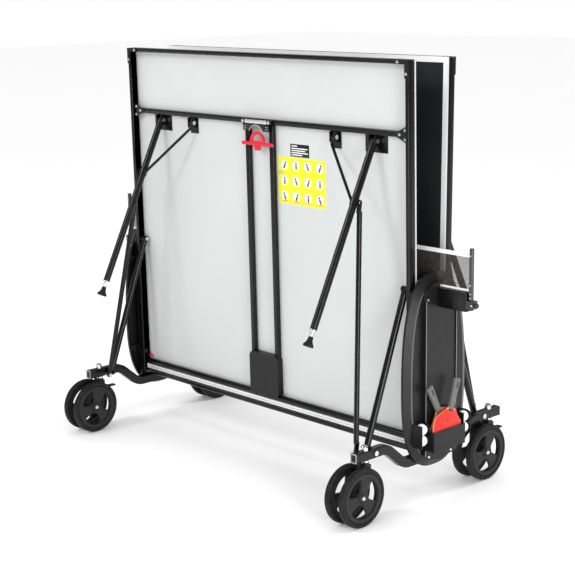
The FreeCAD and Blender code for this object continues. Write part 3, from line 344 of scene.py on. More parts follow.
# %% Surface kit
ODD_WAY = (0.31, 0.52, 0.79)      # no part lies along it, so its cross product never vanishes
SMALLEST_CORNER = 0.03
WELD_DISTANCE = 0.005 * MM


def grid_faces(rows, columns, round_rows=False):
    """Quads between the neighbours of a grid of points whose columns go all the way round."""
    i, j = np.meshgrid(np.arange(rows if round_rows else rows - 1), np.arange(columns),
                       indexing="ij")
    i, j = i.ravel(), j.ravel()
    down, next_j = (i + 1) % rows, (j + 1) % columns
    quads = [i * columns + j, down * columns + j, down * columns + next_j, i * columns + next_j]
    return np.stack(quads, axis=1).tolist()


def closed_rings(rings):
    """Rings of points, one after another, joined by quads, with a flat face at each end."""
    rows, columns = rings.shape[:2]
    faces = grid_faces(rows, columns)
    faces.append(list(range(columns))[::-1])
    faces.append(list(range((rows - 1) * columns, rows * columns)))
    return rings.reshape(-1, 3), faces


def round_profile(width, height, corner, steps=4):
    """Points round rectangles with quarter-circle corners, for arrays of sizes at once.
    Each is half the size less the corner, plus the corner times the cosine or sine."""
    width, height, corner = np.broadcast_arrays(*np.atleast_1d(width, height, corner))
    turn = np.linspace(0, math.pi / 2, steps + 1)
    angle = (turn + math.pi / 2 * np.arange(4)[:, None]).ravel()
    sign_x = np.repeat([1, -1, -1, 1], steps + 1)
    sign_y = np.repeat([1, 1, -1, -1], steps + 1)
    across = sign_x * (width / 2 - corner)[:, None] + corner[:, None] * np.cos(angle)
    up = sign_y * (height / 2 - corner)[:, None] + corner[:, None] * np.sin(angle)
    return across, up


def rounded(width, height, corner, steps=4):
    """One rounded rectangle, as rows of two numbers."""
    across, up = round_profile(width, height, corner, steps)
    return np.stack([across[0], up[0]], axis=1)


def unit(vectors):
    """Vectors brought to a length of one."""
    return vectors / np.linalg.norm(vectors, axis=-1, keepdims=True)


def carried(path, side, width, height, corner, steps=4):
    """A rounded profile carried along a path: path + across * side + up * (path's direction x
    side). Sizes may be arrays, one for each station."""
    ahead = unit(np.gradient(path, axis=0))
    side = unit(side - (ahead @ side)[:, None] * ahead)
    rise = np.cross(ahead, side)
    size = MM * np.ones(len(path))
    across, up = round_profile(width * size, height * size, corner * size, steps)
    return closed_rings(path[:, None] + across[..., None] * side[:, None]
                        + up[..., None] * rise[:, None])


def bar(start, end, side, width, height, corner, steps=4, soft=None):
    """A straight bar whose ends draw in along a quarter circle: at soft (1 - cos a) from the end
    the profile is soft (1 - sin a) smaller on every side."""
    start, end = np.asarray(start, float), np.asarray(end, float)
    soft = 0.95 * corner if soft is None else soft
    turn = np.linspace(0, math.pi / 2, 4)
    length = np.linalg.norm(end - start) / MM
    along = np.concatenate([soft * (1 - np.cos(turn)), length - soft * (1 - np.cos(turn))[::-1]])
    draw = np.concatenate([soft * (1 - np.sin(turn)), soft * (1 - np.sin(turn))[::-1]])
    path = start + along[:, None] / length * (end - start)
    return carried(path, side, width - 2 * draw, height - 2 * draw,
                   np.maximum(corner - draw, SMALLEST_CORNER), steps)


def round_bar(start, end, radius, steps=6):
    """A round bar with soft ends."""
    return bar(start, end, np.cross(end - start, ODD_WAY), 2 * radius, 2 * radius,
               0.999 * radius, steps, 0.25 * radius)


def revolved(profile, centre, axis, steps=40, ring=False):
    """A profile of (radius, height) turned about an axis: the centre, plus the radius times
    (cosine * one side + sine * the other), plus the height along the axis."""
    profile = MM * np.asarray(profile, float)
    axis = unit(axis)
    first = unit(np.cross(axis, ODD_WAY))
    angle = np.linspace(0, 2 * math.pi, steps, endpoint=False)[:, None]
    spokes = np.cos(angle) * first + np.sin(angle) * np.cross(axis, first)
    points = centre + profile[:, :1, None] * spokes + profile[:, 1:, None] * axis
    return points.reshape(-1, 3), grid_faces(len(profile), steps, ring)


def ring_profile(inner, outer, width, corner, steps=4):
    """The section of a ring: a rounded rectangle between two radii."""
    return rounded(outer - inner, width, corner, steps) + ((inner + outer) / 2, 0)


def screw(radius, height, place, axis, steps):
    """A domed head with a hexagon recess, from the rim under it to the middle of the recess."""
    dome = np.array([(0, 0), (1, 0), (1, 0.35), (0.9, 0.7), (0.7, 0.93), (0.5, 1),
                     (0.42, 0.95), (0.4, 0.5), (0, 0.45)])
    return revolved(dome * (radius, height), place, axis, steps)


def coin(radius, low, high, place, axis, steps):
    """A thin disc between two heights on its axis."""
    return revolved([(0, low), (radius, low), (radius, high), (0, high)], place, axis, steps)


def plate(outlines, thickness, soft):
    """A flat plate in the XY plane, with openings and a soft edge, as points and faces."""
    curve = bpy.data.curves.new("outline", "CURVE")
    curve.dimensions = "2D"
    curve.fill_mode = "BOTH"
    curve.extrude = MM * (thickness / 2 - soft)
    curve.bevel_depth = MM * soft
    curve.bevel_resolution = 1
    curve.offset = -MM * soft
    for outline in outlines:
        spline = curve.splines.new("POLY")
        spline.points.add(len(outline) - 1)
        flat = np.zeros((len(outline), 4))
        flat[:, :2] = MM * outline
        flat[:, 3] = 1
        spline.points.foreach_set("co", flat.ravel())
        spline.use_cyclic_u = True
    holder = bpy.data.objects.new("outline", curve)
    mesh = bpy.data.meshes.new_from_object(holder)
    points = mesh_points(mesh)
    faces = [list(polygon.vertices) for polygon in mesh.polygons]
    bpy.data.objects.remove(holder)
    bpy.data.curves.remove(curve)
    bpy.data.meshes.remove(mesh)
    return points, faces


def signed_power(values, power):
    """The size of each value to a power, with the value's own sign."""
    return np.sign(values) * np.abs(values) ** power


def stood(part, origin, first, second, third):
    """A part made in its own X, Y and Z, stood up at an origin on three axes."""
    points, faces = part
    return origin + points @ np.array([first, second, third]), faces


def both_ends(parts):
    """The parts, and their mirror images at the other end of the table."""
    return parts + [(points * (-1, 1, 1), faces) for points, faces in parts]


def piece(name, parts, finish, body, replaced=(), crease=40.0):
    """One mesh object from the parts: doubles merged, normals outward, creases kept sharp."""
    starts = np.cumsum([0] + [len(points) for points, _ in parts])
    points = np.concatenate([points for points, _ in parts])
    faces = [[int(start) + k for k in face] for start, (_, part_faces) in zip(starts, parts)
             for face in part_faces]
    mesh = bpy.data.meshes.new(name)
    mesh.from_pydata(points.tolist(), [], faces)
    welded = bmesh.new()
    welded.from_mesh(mesh)
    bmesh.ops.remove_doubles(welded, verts=welded.verts, dist=WELD_DISTANCE)
    bmesh.ops.recalc_face_normals(welded, faces=welded.faces)
    welded.to_mesh(mesh)
    welded.free()
    mesh.polygons.foreach_set("use_smooth", np.ones(len(mesh.polygons), bool))
    mesh.set_sharp_from_angle(angle=math.radians(crease))
    mesh.materials.append(finish)
    made = bpy.data.objects.new(name, mesh)
    bpy.context.collection.objects.link(made)
    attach(made, body)
    if replaced:
        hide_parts(*replaced)
    print(name, len(mesh.polygons), "faces on", body)
    return made


def near_and_far(name, parts, finish, body, replaced="", crease=40.0):
    """A piece on a near body, and the same piece on the far one, half a turn round the net."""
    for side, sign, shift in (("near", 1, 0), ("far", -1, 2 * net_y)):
        turned = [(points * (sign, sign, 1) + (0, shift, 0), faces) for points, faces in parts]
        piece(f"{side}_{name}", turned, finish, f"{side}_{body}",
              [f"{side}_{replaced}"] if replaced else (), crease)


# %% [markdown]
# ## The playing boards
# Each half is an aluminium-faced board 6 mm thick: a pale back with a fine groove rolled along
# its net end, a low-glare dark playing face, and painted white lines, 20 mm along the edges and
# 3 mm along the middle. The back is a profile carried across the table, so the groove and the
# soft edges are part of it. The lines are printed, so they stand only a tenth of a millimetre.
# Two raised pale strips lie between the net-end rail and the hinge bar. Their white, brighter than
# the board, is painted light on a band that the hinge bar shades.

# %% Boards
BOARD = 6
FACE_COAT = 0.4
LINE, MIDDLE_LINE = 20, 3
GROOVES = (26, 68)
RAIL = 15


def half_bar(x0, x1, v0, v1, d0, d1, corner, steps=4):
    """A bar between two places on the near half, along its longer way."""
    x, v, d = (x0 + x1) / 2, (v0 + v1) / 2, (d0 + d1) / 2
    if x1 - x0 >= v1 - v0:
        return bar(at(x0, v, d), at(x1, v, d), along_v, v1 - v0, d1 - d0, corner, steps)
    return bar(at(x, v0, d), at(x, v1, d), X_AXIS, x1 - x0, d1 - d0, corner, steps)


def board_profile(soft=0.8):
    """The back of the board across its length: v and d of a slab with two rolled grooves."""
    grooves = [(v + dv, BOARD - dd) for v in GROOVES
               for dv, dd in ((-1.4, 0), (-0.6, 1.2), (0.6, 1.2), (1.4, 0))]
    return np.array([(0, FACE_COAT), (0, BOARD - soft), (soft, BOARD)] + grooves
                    + [(half_length - soft, BOARD), (half_length, BOARD - soft),
                       (half_length, FACE_COAT)])


profile = board_profile()
side_edge, end_edge = half_width - LINE, half_length - LINE
board_back = closed_rings(at([[-half_width], [half_width]], *profile.T))
playing_face = half_bar(-half_width, half_width, 0, half_length, 0, FACE_COAT, 0.1, 1)
court_lines = [half_bar(*strip, -0.1, 0.05, 0.05, 1) for strip in (
    (-half_width, half_width, 0, LINE), (-half_width, half_width, end_edge, half_length),
    (-half_width, -side_edge, LINE, end_edge), (side_edge, half_width, LINE, end_edge),
    (-MIDDLE_LINE / 2, MIDDLE_LINE / 2, LINE, end_edge))]
# pale strips at the net end, whose white is painted light on the band the hinge bar shades
net_end_light_strips = [half_bar(RAIL - half_width, half_width - RAIL, v, v + 8, BOARD, 27, 1.5)
                for v in (16.5, 26.5)]
near_and_far("board_back", [board_back], underside_coat, "half", "top_panel", 30)
near_and_far("net_end_light_strips", net_end_light_strips, white_film, "half")
near_and_far("playing_face", [playing_face], playing_coat, "half")
near_and_far("court_lines", court_lines, line_paint, "half")

# %% [markdown]
# ## The apron and the frame tubes
# The rails and tubes are rolled steel, powder coated: rectangular tube with rounded corners, so
# each edge carries one long soft highlight. They are made again with those corners, on the same
# places as the CAD tubes. The apron's outer face has the shallow bead that stiffens such a rail.

# %% Rails and tubes
RAIL_DEPTH, TUBE_DEPTH, TUBE_CORNER = 40, 26, 4
TUBE = 20
TUBE_X = 66
HINGE_V, HINGE_RADIUS = 48, 12
cross_v = half_length - 253
tube_end = cross_v - TUBE / 2
inner_w = half_width - RAIL
hinge_d = BOARD + HINGE_RADIUS

rails = both_ends([half_bar(inner_w, half_width, 0, half_length, BOARD, RAIL_DEPTH, TUBE_CORNER),
                   half_bar(inner_w + 4, half_width + 0.6, 4, half_length - 4, 15, 31, 0.5, 2)])
rails += [half_bar(-inner_w, inner_w, v, v + RAIL, BOARD, RAIL_DEPTH, TUBE_CORNER)
          for v in (0, half_length - RAIL)]
tubes = [half_bar(-inner_w, inner_w, tube_end, cross_v + TUBE / 2, BOARD, TUBE_DEPTH, TUBE_CORNER),
         round_bar(at(-inner_w, HINGE_V, hinge_d), at(inner_w, HINGE_V, hinge_d), HINGE_RADIUS, 8)]
tubes += both_ends([half_bar(TUBE_X - TUBE / 2, TUBE_X + TUBE / 2, 63, tube_end, BOARD,
                             TUBE_DEPTH, TUBE_CORNER)])
near_and_far("apron_rails", rails, black_coat, "half", "apron")
near_and_far("round_edge_tubes", tubes, black_coat, "half", "frame_tubes")

# %% [markdown]
# ## Screws in the corners
# Zinc-plated button heads hold the corner caps and the gussets. Each is turned, with a recess
# for a hexagon key, and sits over the plain head of the CAD.

# %% Corner screws
CAP_REACH = 0.75 * 62
CAP_TOP, GUSSET_TOP = 42.5, 28.5
screw_places = [(half_width - CAP_REACH, half_length - RAIL / 2, CAP_TOP),
                (half_width - RAIL / 2, half_length - CAP_REACH, CAP_TOP),
                (inner_w - 10, cross_v - 16, GUSSET_TOP), (inner_w - 10, cross_v + 16, GUSSET_TOP),
                (inner_w - 36, cross_v, GUSSET_TOP)]
heads = both_ends([screw(5.4, 3.2, at(*place), along_d, 18) for place in screw_places])
near_and_far("corner_screws", heads, zinc, "half")

# %% [markdown]
# ## The latch
# A pull-up latch locks each half: a silver bar bolted across the centre tubes between two black
# blocks, a pressed black plate with an arched cut-out and a bright lip, and the red moulded pull
# with a D-shaped grip. The grip is one rounded profile carried along half a circle.

# %% Latch
LATCH_HALF = 81
ARCH_HALF, ARCH_RADIUS, LIP = 72, 40, 1.5
GRIP_RADIUS, GRIP_D = 34, 32
bar_low, bar_high = cross_v - 8, cross_v + 8
silver_bar = half_bar(-60, 60, bar_low + 1, bar_high - 1, RAIL_DEPTH - 3, RAIL_DEPTH + 0.6, 1.2)
blocks = both_ends([half_bar(60, LATCH_HALF, bar_low, bar_high, TUBE_DEPTH, RAIL_DEPTH, 2)])
arch_low = bar_low - 27
arch_centre = arch_low - 19
reach = math.acos((arch_low - arch_centre) / ARCH_RADIUS)
sweep = np.linspace(reach, -reach, 25)
arch = np.stack([np.sin(sweep), np.cos(sweep)], axis=1)
arch_outline = np.concatenate([[(-ARCH_HALF, arch_low), (-ARCH_HALF, bar_low + 4),
                                (ARCH_HALF, bar_low + 4), (ARCH_HALF, arch_low)],
                               ARCH_RADIUS * arch + (0, arch_centre)])
arch_plate = stood(plate([arch_outline], 3, 0.6), at(0, 0, 37.4), X_AXIS, along_v, along_d)
lip_x, lip_v = ((ARCH_RADIUS + LIP) * arch + (0, arch_centre)).T
lip = carried(at(lip_x, lip_v, 39.2), along_d, 2.4, 3, 0.8, 2)
small_heads = both_ends([screw(2.2, 1.6, at(x, arch_low + v, 38.8), along_d, 10)
                         for x in (56, 64) for v in (8, 17)]
                        + [screw(6, 3, at(LATCH_HALF - 10, cross_v, RAIL_DEPTH), along_d, 18)])
pull_v = cross_v - 84
grip_turn = np.linspace(0, math.pi, 33)
grip_path = at(GRIP_RADIUS * np.cos(grip_turn), pull_v + 7 + GRIP_RADIUS * np.sin(grip_turn),
               GRIP_D)
pull = [carried(grip_path, along_d, 10, 13, 4.4, 5),
        half_bar(-86, 86, pull_v - 7, pull_v + 7, GRIP_D - 5, GRIP_D + 5, 4, 5),
        half_bar(-15, 15, pull_v - 25, pull_v - 6, GRIP_D - 5, GRIP_D + 5, 3.5, 5),
        half_bar(-41, 41, pull_v + 3, pull_v + 11, GRIP_D - 4, GRIP_D + 4, 3, 4)]
pull_rods = both_ends([round_bar(at(TUBE_X, 120, 16), at(TUBE_X, pull_v + 8, 16), 3.5),
                       round_bar(at(TUBE_X, pull_v, 15), at(TUBE_X, pull_v, 30), 3.2)])
near_and_far("latch_bar", [silver_bar, lip], silver, "half", "latch_plate")
near_and_far("latch_blocks", blocks + [arch_plate], black_coat, "half")
near_and_far("latch_screws", small_heads, zinc, "half")
near_and_far("red_pull", pull, red_plastic, "latch", "latch_handle")
near_and_far("pull_rods", pull_rods, zinc, "latch")

# %% [markdown]
# ## The side beams and the tie tube
# Each side beam is one length of 30 by 35 mm tube, bent twice at each end so that its middle
# drops under the folded halves. The bends are true arcs, as a tube bender leaves them, so the
# path is straight runs joined by arcs, and the rounded profile is carried along it.

# %% Side beams
BEAM_HEIGHT, BEAM_CORNER, BEND_RADIUS = 35, 3.5, 70
BEAM_KNEES = (0.385, 0.232, 0.140)
TIE_TUBE = 25
beam_low, beam_high = box_of("right_side_beam")
beam_x = (beam_low[0] + beam_high[0]) / 2
beam_width = (beam_high[0] - beam_low[0]) / MM
high_z = beam_high[2] - MM * BEAM_HEIGHT / 2
low_z = beam_low[2] + MM * BEAM_HEIGHT / 2


def bent_path(corners, radius, steps=9):
    """Straight runs joined by arcs. Each arc starts radius / tan(half the corner's angle) before
    the corner, and its points are its centre plus the radius times cosine and sine."""
    corners = np.asarray(corners, float)
    radius = MM * radius
    rows = [corners[:1]]
    for before, corner, after in zip(corners, corners[1:], corners[2:]):
        ways = unit(before - corner), unit(after - corner)
        half = math.acos(float(ways[0] @ ways[1])) / 2
        centre = corner + unit(sum(ways)) * (radius / math.sin(half))
        start, end = (corner + way * (radius / math.tan(half)) - centre for way in ways)
        turn = math.pi - 2 * half
        share = np.linspace(0, 1, steps)[:, None]
        rows.append(centre + (np.sin((1 - share) * turn) * start
                              + np.sin(share * turn) * end) / math.sin(turn))
    rows.append(corners[-1:])
    return np.concatenate(rows)


knees = [(beam_x, net_y - y, z) for y, z in zip(BEAM_KNEES, (high_z, high_z, low_z))]
knees += [(beam_x, net_y + y, z) for y, z in zip(BEAM_KNEES[::-1], (low_z, high_z, high_z))]
beams = both_ends([carried(bent_path(knees, BEND_RADIUS), X_AXIS, beam_width, BEAM_HEIGHT,
                           BEAM_CORNER)])
for end, beam in zip(("right", "left"), beams):
    piece(end + "_bent_beam", [beam], black_coat, "chassis", [end + "_side_beam"])
tie_low, tie_high = box_of("chassis_tie_tube")
tie_start, tie_end = (tie_low + tie_high) / 2 + np.outer((-1, 1), (tie_high - tie_low) / 2 * X_AXIS)
piece("tie_tube_round_edges", [bar(tie_start, tie_end, Y_AXIS, TIE_TUBE, TIE_TUBE, 3)],
      black_coat, "chassis", ["chassis_tie_tube"])

# %% [markdown]
# ### Beam end caps
# A moulded cap closes each end of the beams: a black plug with a raised pale frame round a
# sunken middle, left by its injection mould.

# %% End cap frames
outer_square = rounded(beam_width - 1, BEAM_HEIGHT - 1, 3)
inner_square = rounded(beam_width - 9, BEAM_HEIGHT - 9, 2)[::-1]
frame_plate = plate([outer_square, inner_square], 1.6, 0.4)
cap_low, cap_high = box_of("beam_end_caps")
cap_frames = both_ends([stood(frame_plate, (beam_x, y, high_z), X_AXIS, Z_AXIS, Y_AXIS)
                        for y in (cap_low[1] - 0.2 * MM, cap_high[1] + 0.2 * MM)])
piece("end_cap_frames", cap_frames, trim_grey, "chassis")

# %% [markdown]
# ## Casters
# Each caster has twin wheels 210 mm across. A moulded disc with three curved windows carries a
# soft tread, and a steel axle bolt with a bright domed head holds the pair. The windows are
# superellipses in polar measure: the radius and the angle each follow a rounded wave, so their
# corners are soft. Tread, rim and hub are profiles turned about the axle.

# %% Wheels
WHEEL_RADIUS, RIM_RADIUS, WHEEL_WIDTH, WHEEL_GAP = 105, 88, 24, 42
WINDOW_ANGLES, WINDOW_HALF_ANGLE = (132, 252, 372), 38
WINDOW_INNER, WINDOW_OUTER = 26, 72


def polar_window(middle_angle, squareness=4.5, points=44):
    """A curved window: radius = middle + half * wave(cos t), angle = middle + half * wave(sin t),
    where wave(c) is c to the power 2 / squareness, with c's own sign."""
    t = np.linspace(0, 2 * math.pi, points, endpoint=False)
    wave_r, wave_a = signed_power(np.array([np.cos(t), np.sin(t)]), 2 / squareness)
    radius = (WINDOW_INNER + WINDOW_OUTER) / 2 + (WINDOW_OUTER - WINDOW_INNER) / 2 * wave_r
    angle = np.radians(middle_angle + WINDOW_HALF_ANGLE * wave_a * (0.86 + 0.14 * wave_r))
    return np.stack([radius * np.cos(angle), radius * np.sin(angle)], axis=1)


circle = np.linspace(0, 2 * math.pi, 96, endpoint=False)
rim_circle = (RIM_RADIUS - 4) * np.stack([np.cos(circle), np.sin(circle)], axis=1)
disc = plate([rim_circle] + [polar_window(angle)[::-1] for angle in WINDOW_ANGLES], 10, 2)
tread = ring_profile(RIM_RADIUS - 1, WHEEL_RADIUS, WHEEL_WIDTH, 7, 5)
rim = ring_profile(73, RIM_RADIUS, WHEEL_WIDTH - 1, 3)
hub = [(0, 10), (9, 10.5), (16, 12), (19, 10), (21, 4), (21, -4), (19, -10), (16, -12), (0, -12)]
for corner in ("front_left", "front_right", "back_left", "back_right"):
    axle = sum(box_of(corner + "_wheels")) / 2
    discs, treads, bolts = [], [], []
    for out in (-X_AXIS, X_AXIS):
        centre = axle + MM * (WHEEL_GAP + WHEEL_WIDTH) / 2 * out
        discs += [stood(disc, centre + 2 * MM * out, Y_AXIS, Z_AXIS, X_AXIS),
                  revolved(rim, centre, out, 96, ring=True), revolved(hub, centre, out)]
        treads.append(revolved(tread, centre, out, 96, ring=True))
        bolts.append(screw(8, 4.5, centre + 10 * MM * out, out, 20))
    bolts.append(round_bar(axle - 24 * MM * X_AXIS, axle + 24 * MM * X_AXIS, 5, 4))
    body = corner + "_wheel_pair"
    piece(corner + "_wheel_discs", discs, wheel_plastic, body,
          [corner + "_wheels"])
    piece(corner + "_treads", treads, tread_rubber, body, crease=55)
    piece(corner + "_axle", bolts, zinc, body)

# %% [markdown]
# ## Feet
# A bell of soft rubber stands on a silver threaded neck, which a bright ring closes off at the
# end of the leg tube. All three are turned about the leg's axis, which hangs 26.2 degrees away
# from the upright when the leg is folded.

# %% Feet
LEG_LEAN = math.radians(27.0 - 0.8)
NECK, BELL, SOLE = 690, 716, 750
NECK_RADIUS, THREAD_PITCH = 7.4, 1.5
leg_pivot = at(half_width - 175.5, cross_v - 31, 21)
leg_way = np.array([0.0, -math.sin(LEG_LEAN), -math.cos(LEG_LEAN)])
bell = [(0, BELL - 2), (8, BELL - 2), (9, BELL), (9.6, BELL + 9), (11.5, BELL + 16),
        (15, BELL + 22), (18.4, BELL + 26), (18.9, BELL + 28), (18.9, SOLE - 1.5), (18, SOLE),
        (0, SOLE)]
threads = np.arange(NECK + 5, BELL - 2, THREAD_PITCH)
neck = [(0, NECK - 11), (NECK_RADIUS, NECK - 11), (NECK_RADIUS, NECK + 4)]
neck += [(NECK_RADIUS - 0.5 * (i % 2), place) for i, place in enumerate(threads)]
neck += [(NECK_RADIUS - 0.2, BELL), (0, BELL)]
end_ring = [(0, NECK - 1), (13.1, NECK - 1), (13.3, NECK), (13.1, NECK + 2.4), (12, NECK + 3.4),
            (0, NECK + 3.4)]
bells = both_ends([revolved(bell, leg_pivot, leg_way, 36)])
bright = both_ends([revolved(neck, leg_pivot, leg_way, 28),
                    revolved(end_ring, leg_pivot, leg_way, 36)])
near_and_far("rubber_feet", bells, foot_rubber, "leg_frame", "feet")
near_and_far("foot_necks", bright, silver, "leg_frame")

# %% [markdown]
# ## The bats
# A bat is a plywood blade with a rubber sheet glued on each side, and a padded grip that flares
# at its butt. The blade's outline is a circle whose shoulders run straight into the grip. The
# rubbers stop short of the grip along a slanted edge, where the bare wood shows.

# %% Bats
BLADE_RADIUS, BLADE_THICKNESS, NECK_HALF = 74.5, 5, 13
SHOULDER, SHOULDER_SLOPE = 69, math.radians(36)
RUBBER_THICKNESS, RUBBER_OFFSET, RUBBER_SHARE, RUBBER_CUT = 2, 3.3, 0.985, 61
GRIP_START, GRIP_LENGTH = 52, 122
GRIP_SHARES = np.array([0, 0.015, 0.05, 0.2, 0.5, 0.8, 0.93, 0.97, 0.99, 1.0])
GRIP_WIDTHS = np.array([18, 22, 24, 24, 25, 27.5, 29.5, 29.5, 28, 24.5])
GRIP_HEIGHTS = np.array([9, 13, 16, 17, 17.5, 18, 18, 18, 16.5, 13.5])


def blade_outline(points=120):
    """A round head with slanted shoulders: the radius at an angle, or the straight shoulder line
    where that is nearer the middle."""
    angle = np.linspace(0, 2 * math.pi, points, endpoint=False) + 0.001
    x, y = np.cos(angle), np.sin(angle)
    line = SHOULDER * math.cos(SHOULDER_SLOPE) + NECK_HALF * math.sin(SHOULDER_SLOPE)
    along = np.abs(x) * math.sin(SHOULDER_SLOPE) + y * math.cos(SHOULDER_SLOPE)
    reach = np.where(along > 0.05, np.minimum(BLADE_RADIUS, line / np.maximum(along, 0.05)),
                     BLADE_RADIUS)
    return np.stack([x * reach, y * reach], axis=1)


def bat(node, tilt):
    """The wood, the two rubbers and the grip of a bat, placed over its CAD node."""
    low, high = box_of(node)
    handle_way = np.array([0.0, -math.sin(tilt), math.cos(tilt)])
    across = np.array([0.0, math.cos(tilt), math.sin(tilt)])
    points = mesh_points(nodes[node].data)
    centre_z = low[2] + 75 * MM
    blade_y = points[points[:, 2] < centre_z, 1]
    centre = np.array([(low[0] + high[0]) / 2, (blade_y.min() + blade_y.max()) / 2, centre_z])
    outline = blade_outline()
    rubber = outline * RUBBER_SHARE
    rubber[:, 1] = np.minimum(rubber[:, 1], RUBBER_CUT - 0.1 * np.abs(rubber[:, 0]))
    body = node + "_body"
    for part, finish, shape, thickness, soft, offset, replaced in (
            ("blade", ply_wood, outline, BLADE_THICKNESS, 1, 0, [node]),
            ("front_rubber", bat_red, rubber, RUBBER_THICKNESS, 0.5, RUBBER_OFFSET, ()),
            ("rear_rubber", bat_black, rubber, RUBBER_THICKNESS, 0.5, -RUBBER_OFFSET, ())):
        sheet = stood(plate([shape], thickness, soft), centre + X_AXIS * MM * offset, across,
                      handle_way, -X_AXIS)
        piece(f"{node}_{part}", [sheet], finish, body, replaced)
    path = centre + MM * (GRIP_START + GRIP_SHARES * GRIP_LENGTH)[:, None] * handle_way
    grip = carried(path, across, GRIP_WIDTHS, GRIP_HEIGHTS,
                   0.36 * np.minimum(GRIP_WIDTHS, GRIP_HEIGHTS), 5)
    mark_start = centre + handle_way * MM * 138 + X_AXIS * MM * 8.9
    mark = bar(mark_start, mark_start + handle_way * MM * 24, across, 7, 1, 0.49, 3)
    collar = bar(centre + handle_way * MM * 56, centre + handle_way * MM * 61, across, 26, 17.8,
                 6, 4, 1)
    piece(node + "_grip", [grip], grip_grey, body)
    piece(node + "_grip_marks", [mark, collar], black_film, body)


bat("outer_bat", math.radians(-18.0))
bat("inner_bat", math.radians(28.0))

# %% [markdown]
# ## Balls
# Plastic balls, 40 mm across, moulded in two halves. The weld is a ring about a
# hundredth of a millimetre deep on a real ball, drawn here a little deeper so that it reads.

# %% Balls
SEAM_DEPTH, SEAM_WIDTH = 0.006, 0.03
latitude = np.linspace(-math.pi / 2, math.pi / 2, 33)
for row in ("front_balls", "back_balls"):
    low, high = box_of(row)
    ball_radius = (high[0] - low[0]) / 2
    radius = ball_radius / MM * (1 - SEAM_DEPTH * np.exp(-(latitude / SEAM_WIDTH) ** 2))
    shell = np.stack([radius * np.cos(latitude), radius * np.sin(latitude)], axis=1)
    shell[[0, -1], 0] = 0.0
    middle_x, middle_y, _ = (low + high) / 2
    pair = [revolved(shell, (middle_x, middle_y, z), axis, 48)
            for z, axis in ((low[2] + ball_radius, (0.5, 0.3, 0.8)),
                            (high[2] - ball_radius, (0.7, -0.5, 0.5)))]
    piece(row + "_seamed", pair, ball_plastic, row + "_pair", [row])

# %% [markdown]
# ## The net
# The cloth is an open lattice of brown-grey yarn, 4 mm between threads, stretched between the
# posts. A white webbing tape is folded over its upper edge and another runs along its foot.
# Each thread is a thin four-sided strand.

# %% Net
PITCH, THREAD = 4.0 * MM, 1.15 * MM
cloth_low, cloth_high = net_low[2] + 2 * MM, net_high[2] - 4 * MM
net_reach = net_high[0]
cloth_reach = net_reach - 1 * MM


def strands(starts, ends, side):
    """Square strands between pairs of points, as one array: each corner is the line plus or
    minus half the thread along the side and along Y."""
    signs = np.array([(-1, -1), (1, -1), (1, 1), (-1, 1)]) * THREAD / 2
    offsets = signs[:, :1] * side + signs[:, 1:] * Y_AXIS
    corners = np.stack([starts[:, None] + offsets, ends[:, None] + offsets], axis=1)
    faces = np.array([(0, 1, 5, 4), (1, 2, 6, 5), (2, 3, 7, 6), (3, 0, 4, 7), (3, 2, 1, 0),
                      (4, 5, 6, 7)])
    every = faces + 8 * np.arange(len(starts))[:, None, None]
    return corners.reshape(-1, 3), every.reshape(-1, 4).tolist()


def rows_of(x, z):
    """Points in the net's plane, from arrays of x and z."""
    return np.stack(np.broadcast_arrays(x, net_y, z), axis=1)


columns = np.arange(-net_reach + 4 * MM, net_reach - 3 * MM, PITCH)
rows = np.arange(cloth_low + 3 * MM, cloth_high, PITCH)
upright = strands(rows_of(columns, cloth_low), rows_of(columns, cloth_high), X_AXIS)
level = strands(rows_of(-cloth_reach, rows), rows_of(cloth_reach, rows), Z_AXIS)
net_cloth = piece("net_cloth", [upright, level], net_yarn, "chassis", ["net"], 30)
top_tape, foot_tape = (
    bar((-cloth_reach, net_y, z), (cloth_reach, net_y, z), Y_AXIS, thickness, width, corner, 3)
    for z, thickness, width, corner in ((net_high[2] - 7.5 * MM, 2.6, 15, 1.2),
                                        (net_low[2] + 4.5 * MM, 2.4, 8.6, 1.1)))
net_tapes = piece("net_tapes", [top_tape, foot_tape], tape_cloth, "chassis")

# %% [markdown]
# ### What holds the net
# Each post is drawn up by small bright bolts on its outer face, and a short box of folded steel
# joins it to the shield.

# %% Net bolts and arms
post_x = box_of("net_posts")[1][0] - 8 * MM
post_bolts = [screw(3.4, 3, (post_x, net_y - 7.6 * MM, z), -Y_AXIS, 14)
              for z in (0.762, 0.776, 0.806, 0.908)]
post_bolts += [screw(4, 3, (post_x + 12 * MM, net_y - 14 * MM, 0.738), -Y_AXIS, 14)]
piece("net_post_bolts", both_ends(post_bolts), zinc, "chassis")
arm_low, arm_high = box_of("net_arms")
arm_z = (arm_low[2] + arm_high[2]) / 2
arm_start = box_of("right_shield")[1][0] - 4 * MM
net_arm = bar((arm_start, net_y, arm_z), (arm_high[0], net_y, arm_z), Y_AXIS, 32,
              (arm_high[2] - arm_low[2]) / MM, 4)
piece("net_arm_boxes", both_ends([net_arm]), black_coat, "chassis", ["net_arms"])

# %% [markdown]
# ## Small things on the underside
# A yellow instruction sticker and a black label are printed film, with plain generic figures in
# place of any print. Beside them sit a small bright knob, a chrome pin at the foot of the lock
# cover, and the red tip of the lock's inner catch with its two screws.

# %% Stickers and small parts
STICKER_X, STICKER_WIDTH, STICKER_COLUMNS = 87, 247, 4
STICKER_Z, STICKER_HEIGHT, STICKER_ROWS = 1010, 176, 3
LABEL_X, LABEL_Z, LABEL_WIDTH, LABEL_HEIGHT = 151, 1191, 99, 47
LABEL_BARS = ((30, 1229), (84, 1220), (72, 1212), (86, 1204), (55, 1196))
FILM = 0.15
FIGURE_D = BOARD + 0.55
foot_z = base[2] / MM


def film(x0, width, z0, height, layer):
    """A patch of film on the near half's underside, in its own layer, at a height z0."""
    d0 = BOARD + FILM * layer
    v0 = z0 - foot_z
    return half_bar(x0, x0 + width, v0, v0 + height, d0 - 0.1, d0 + FILM, 0.1, 2)


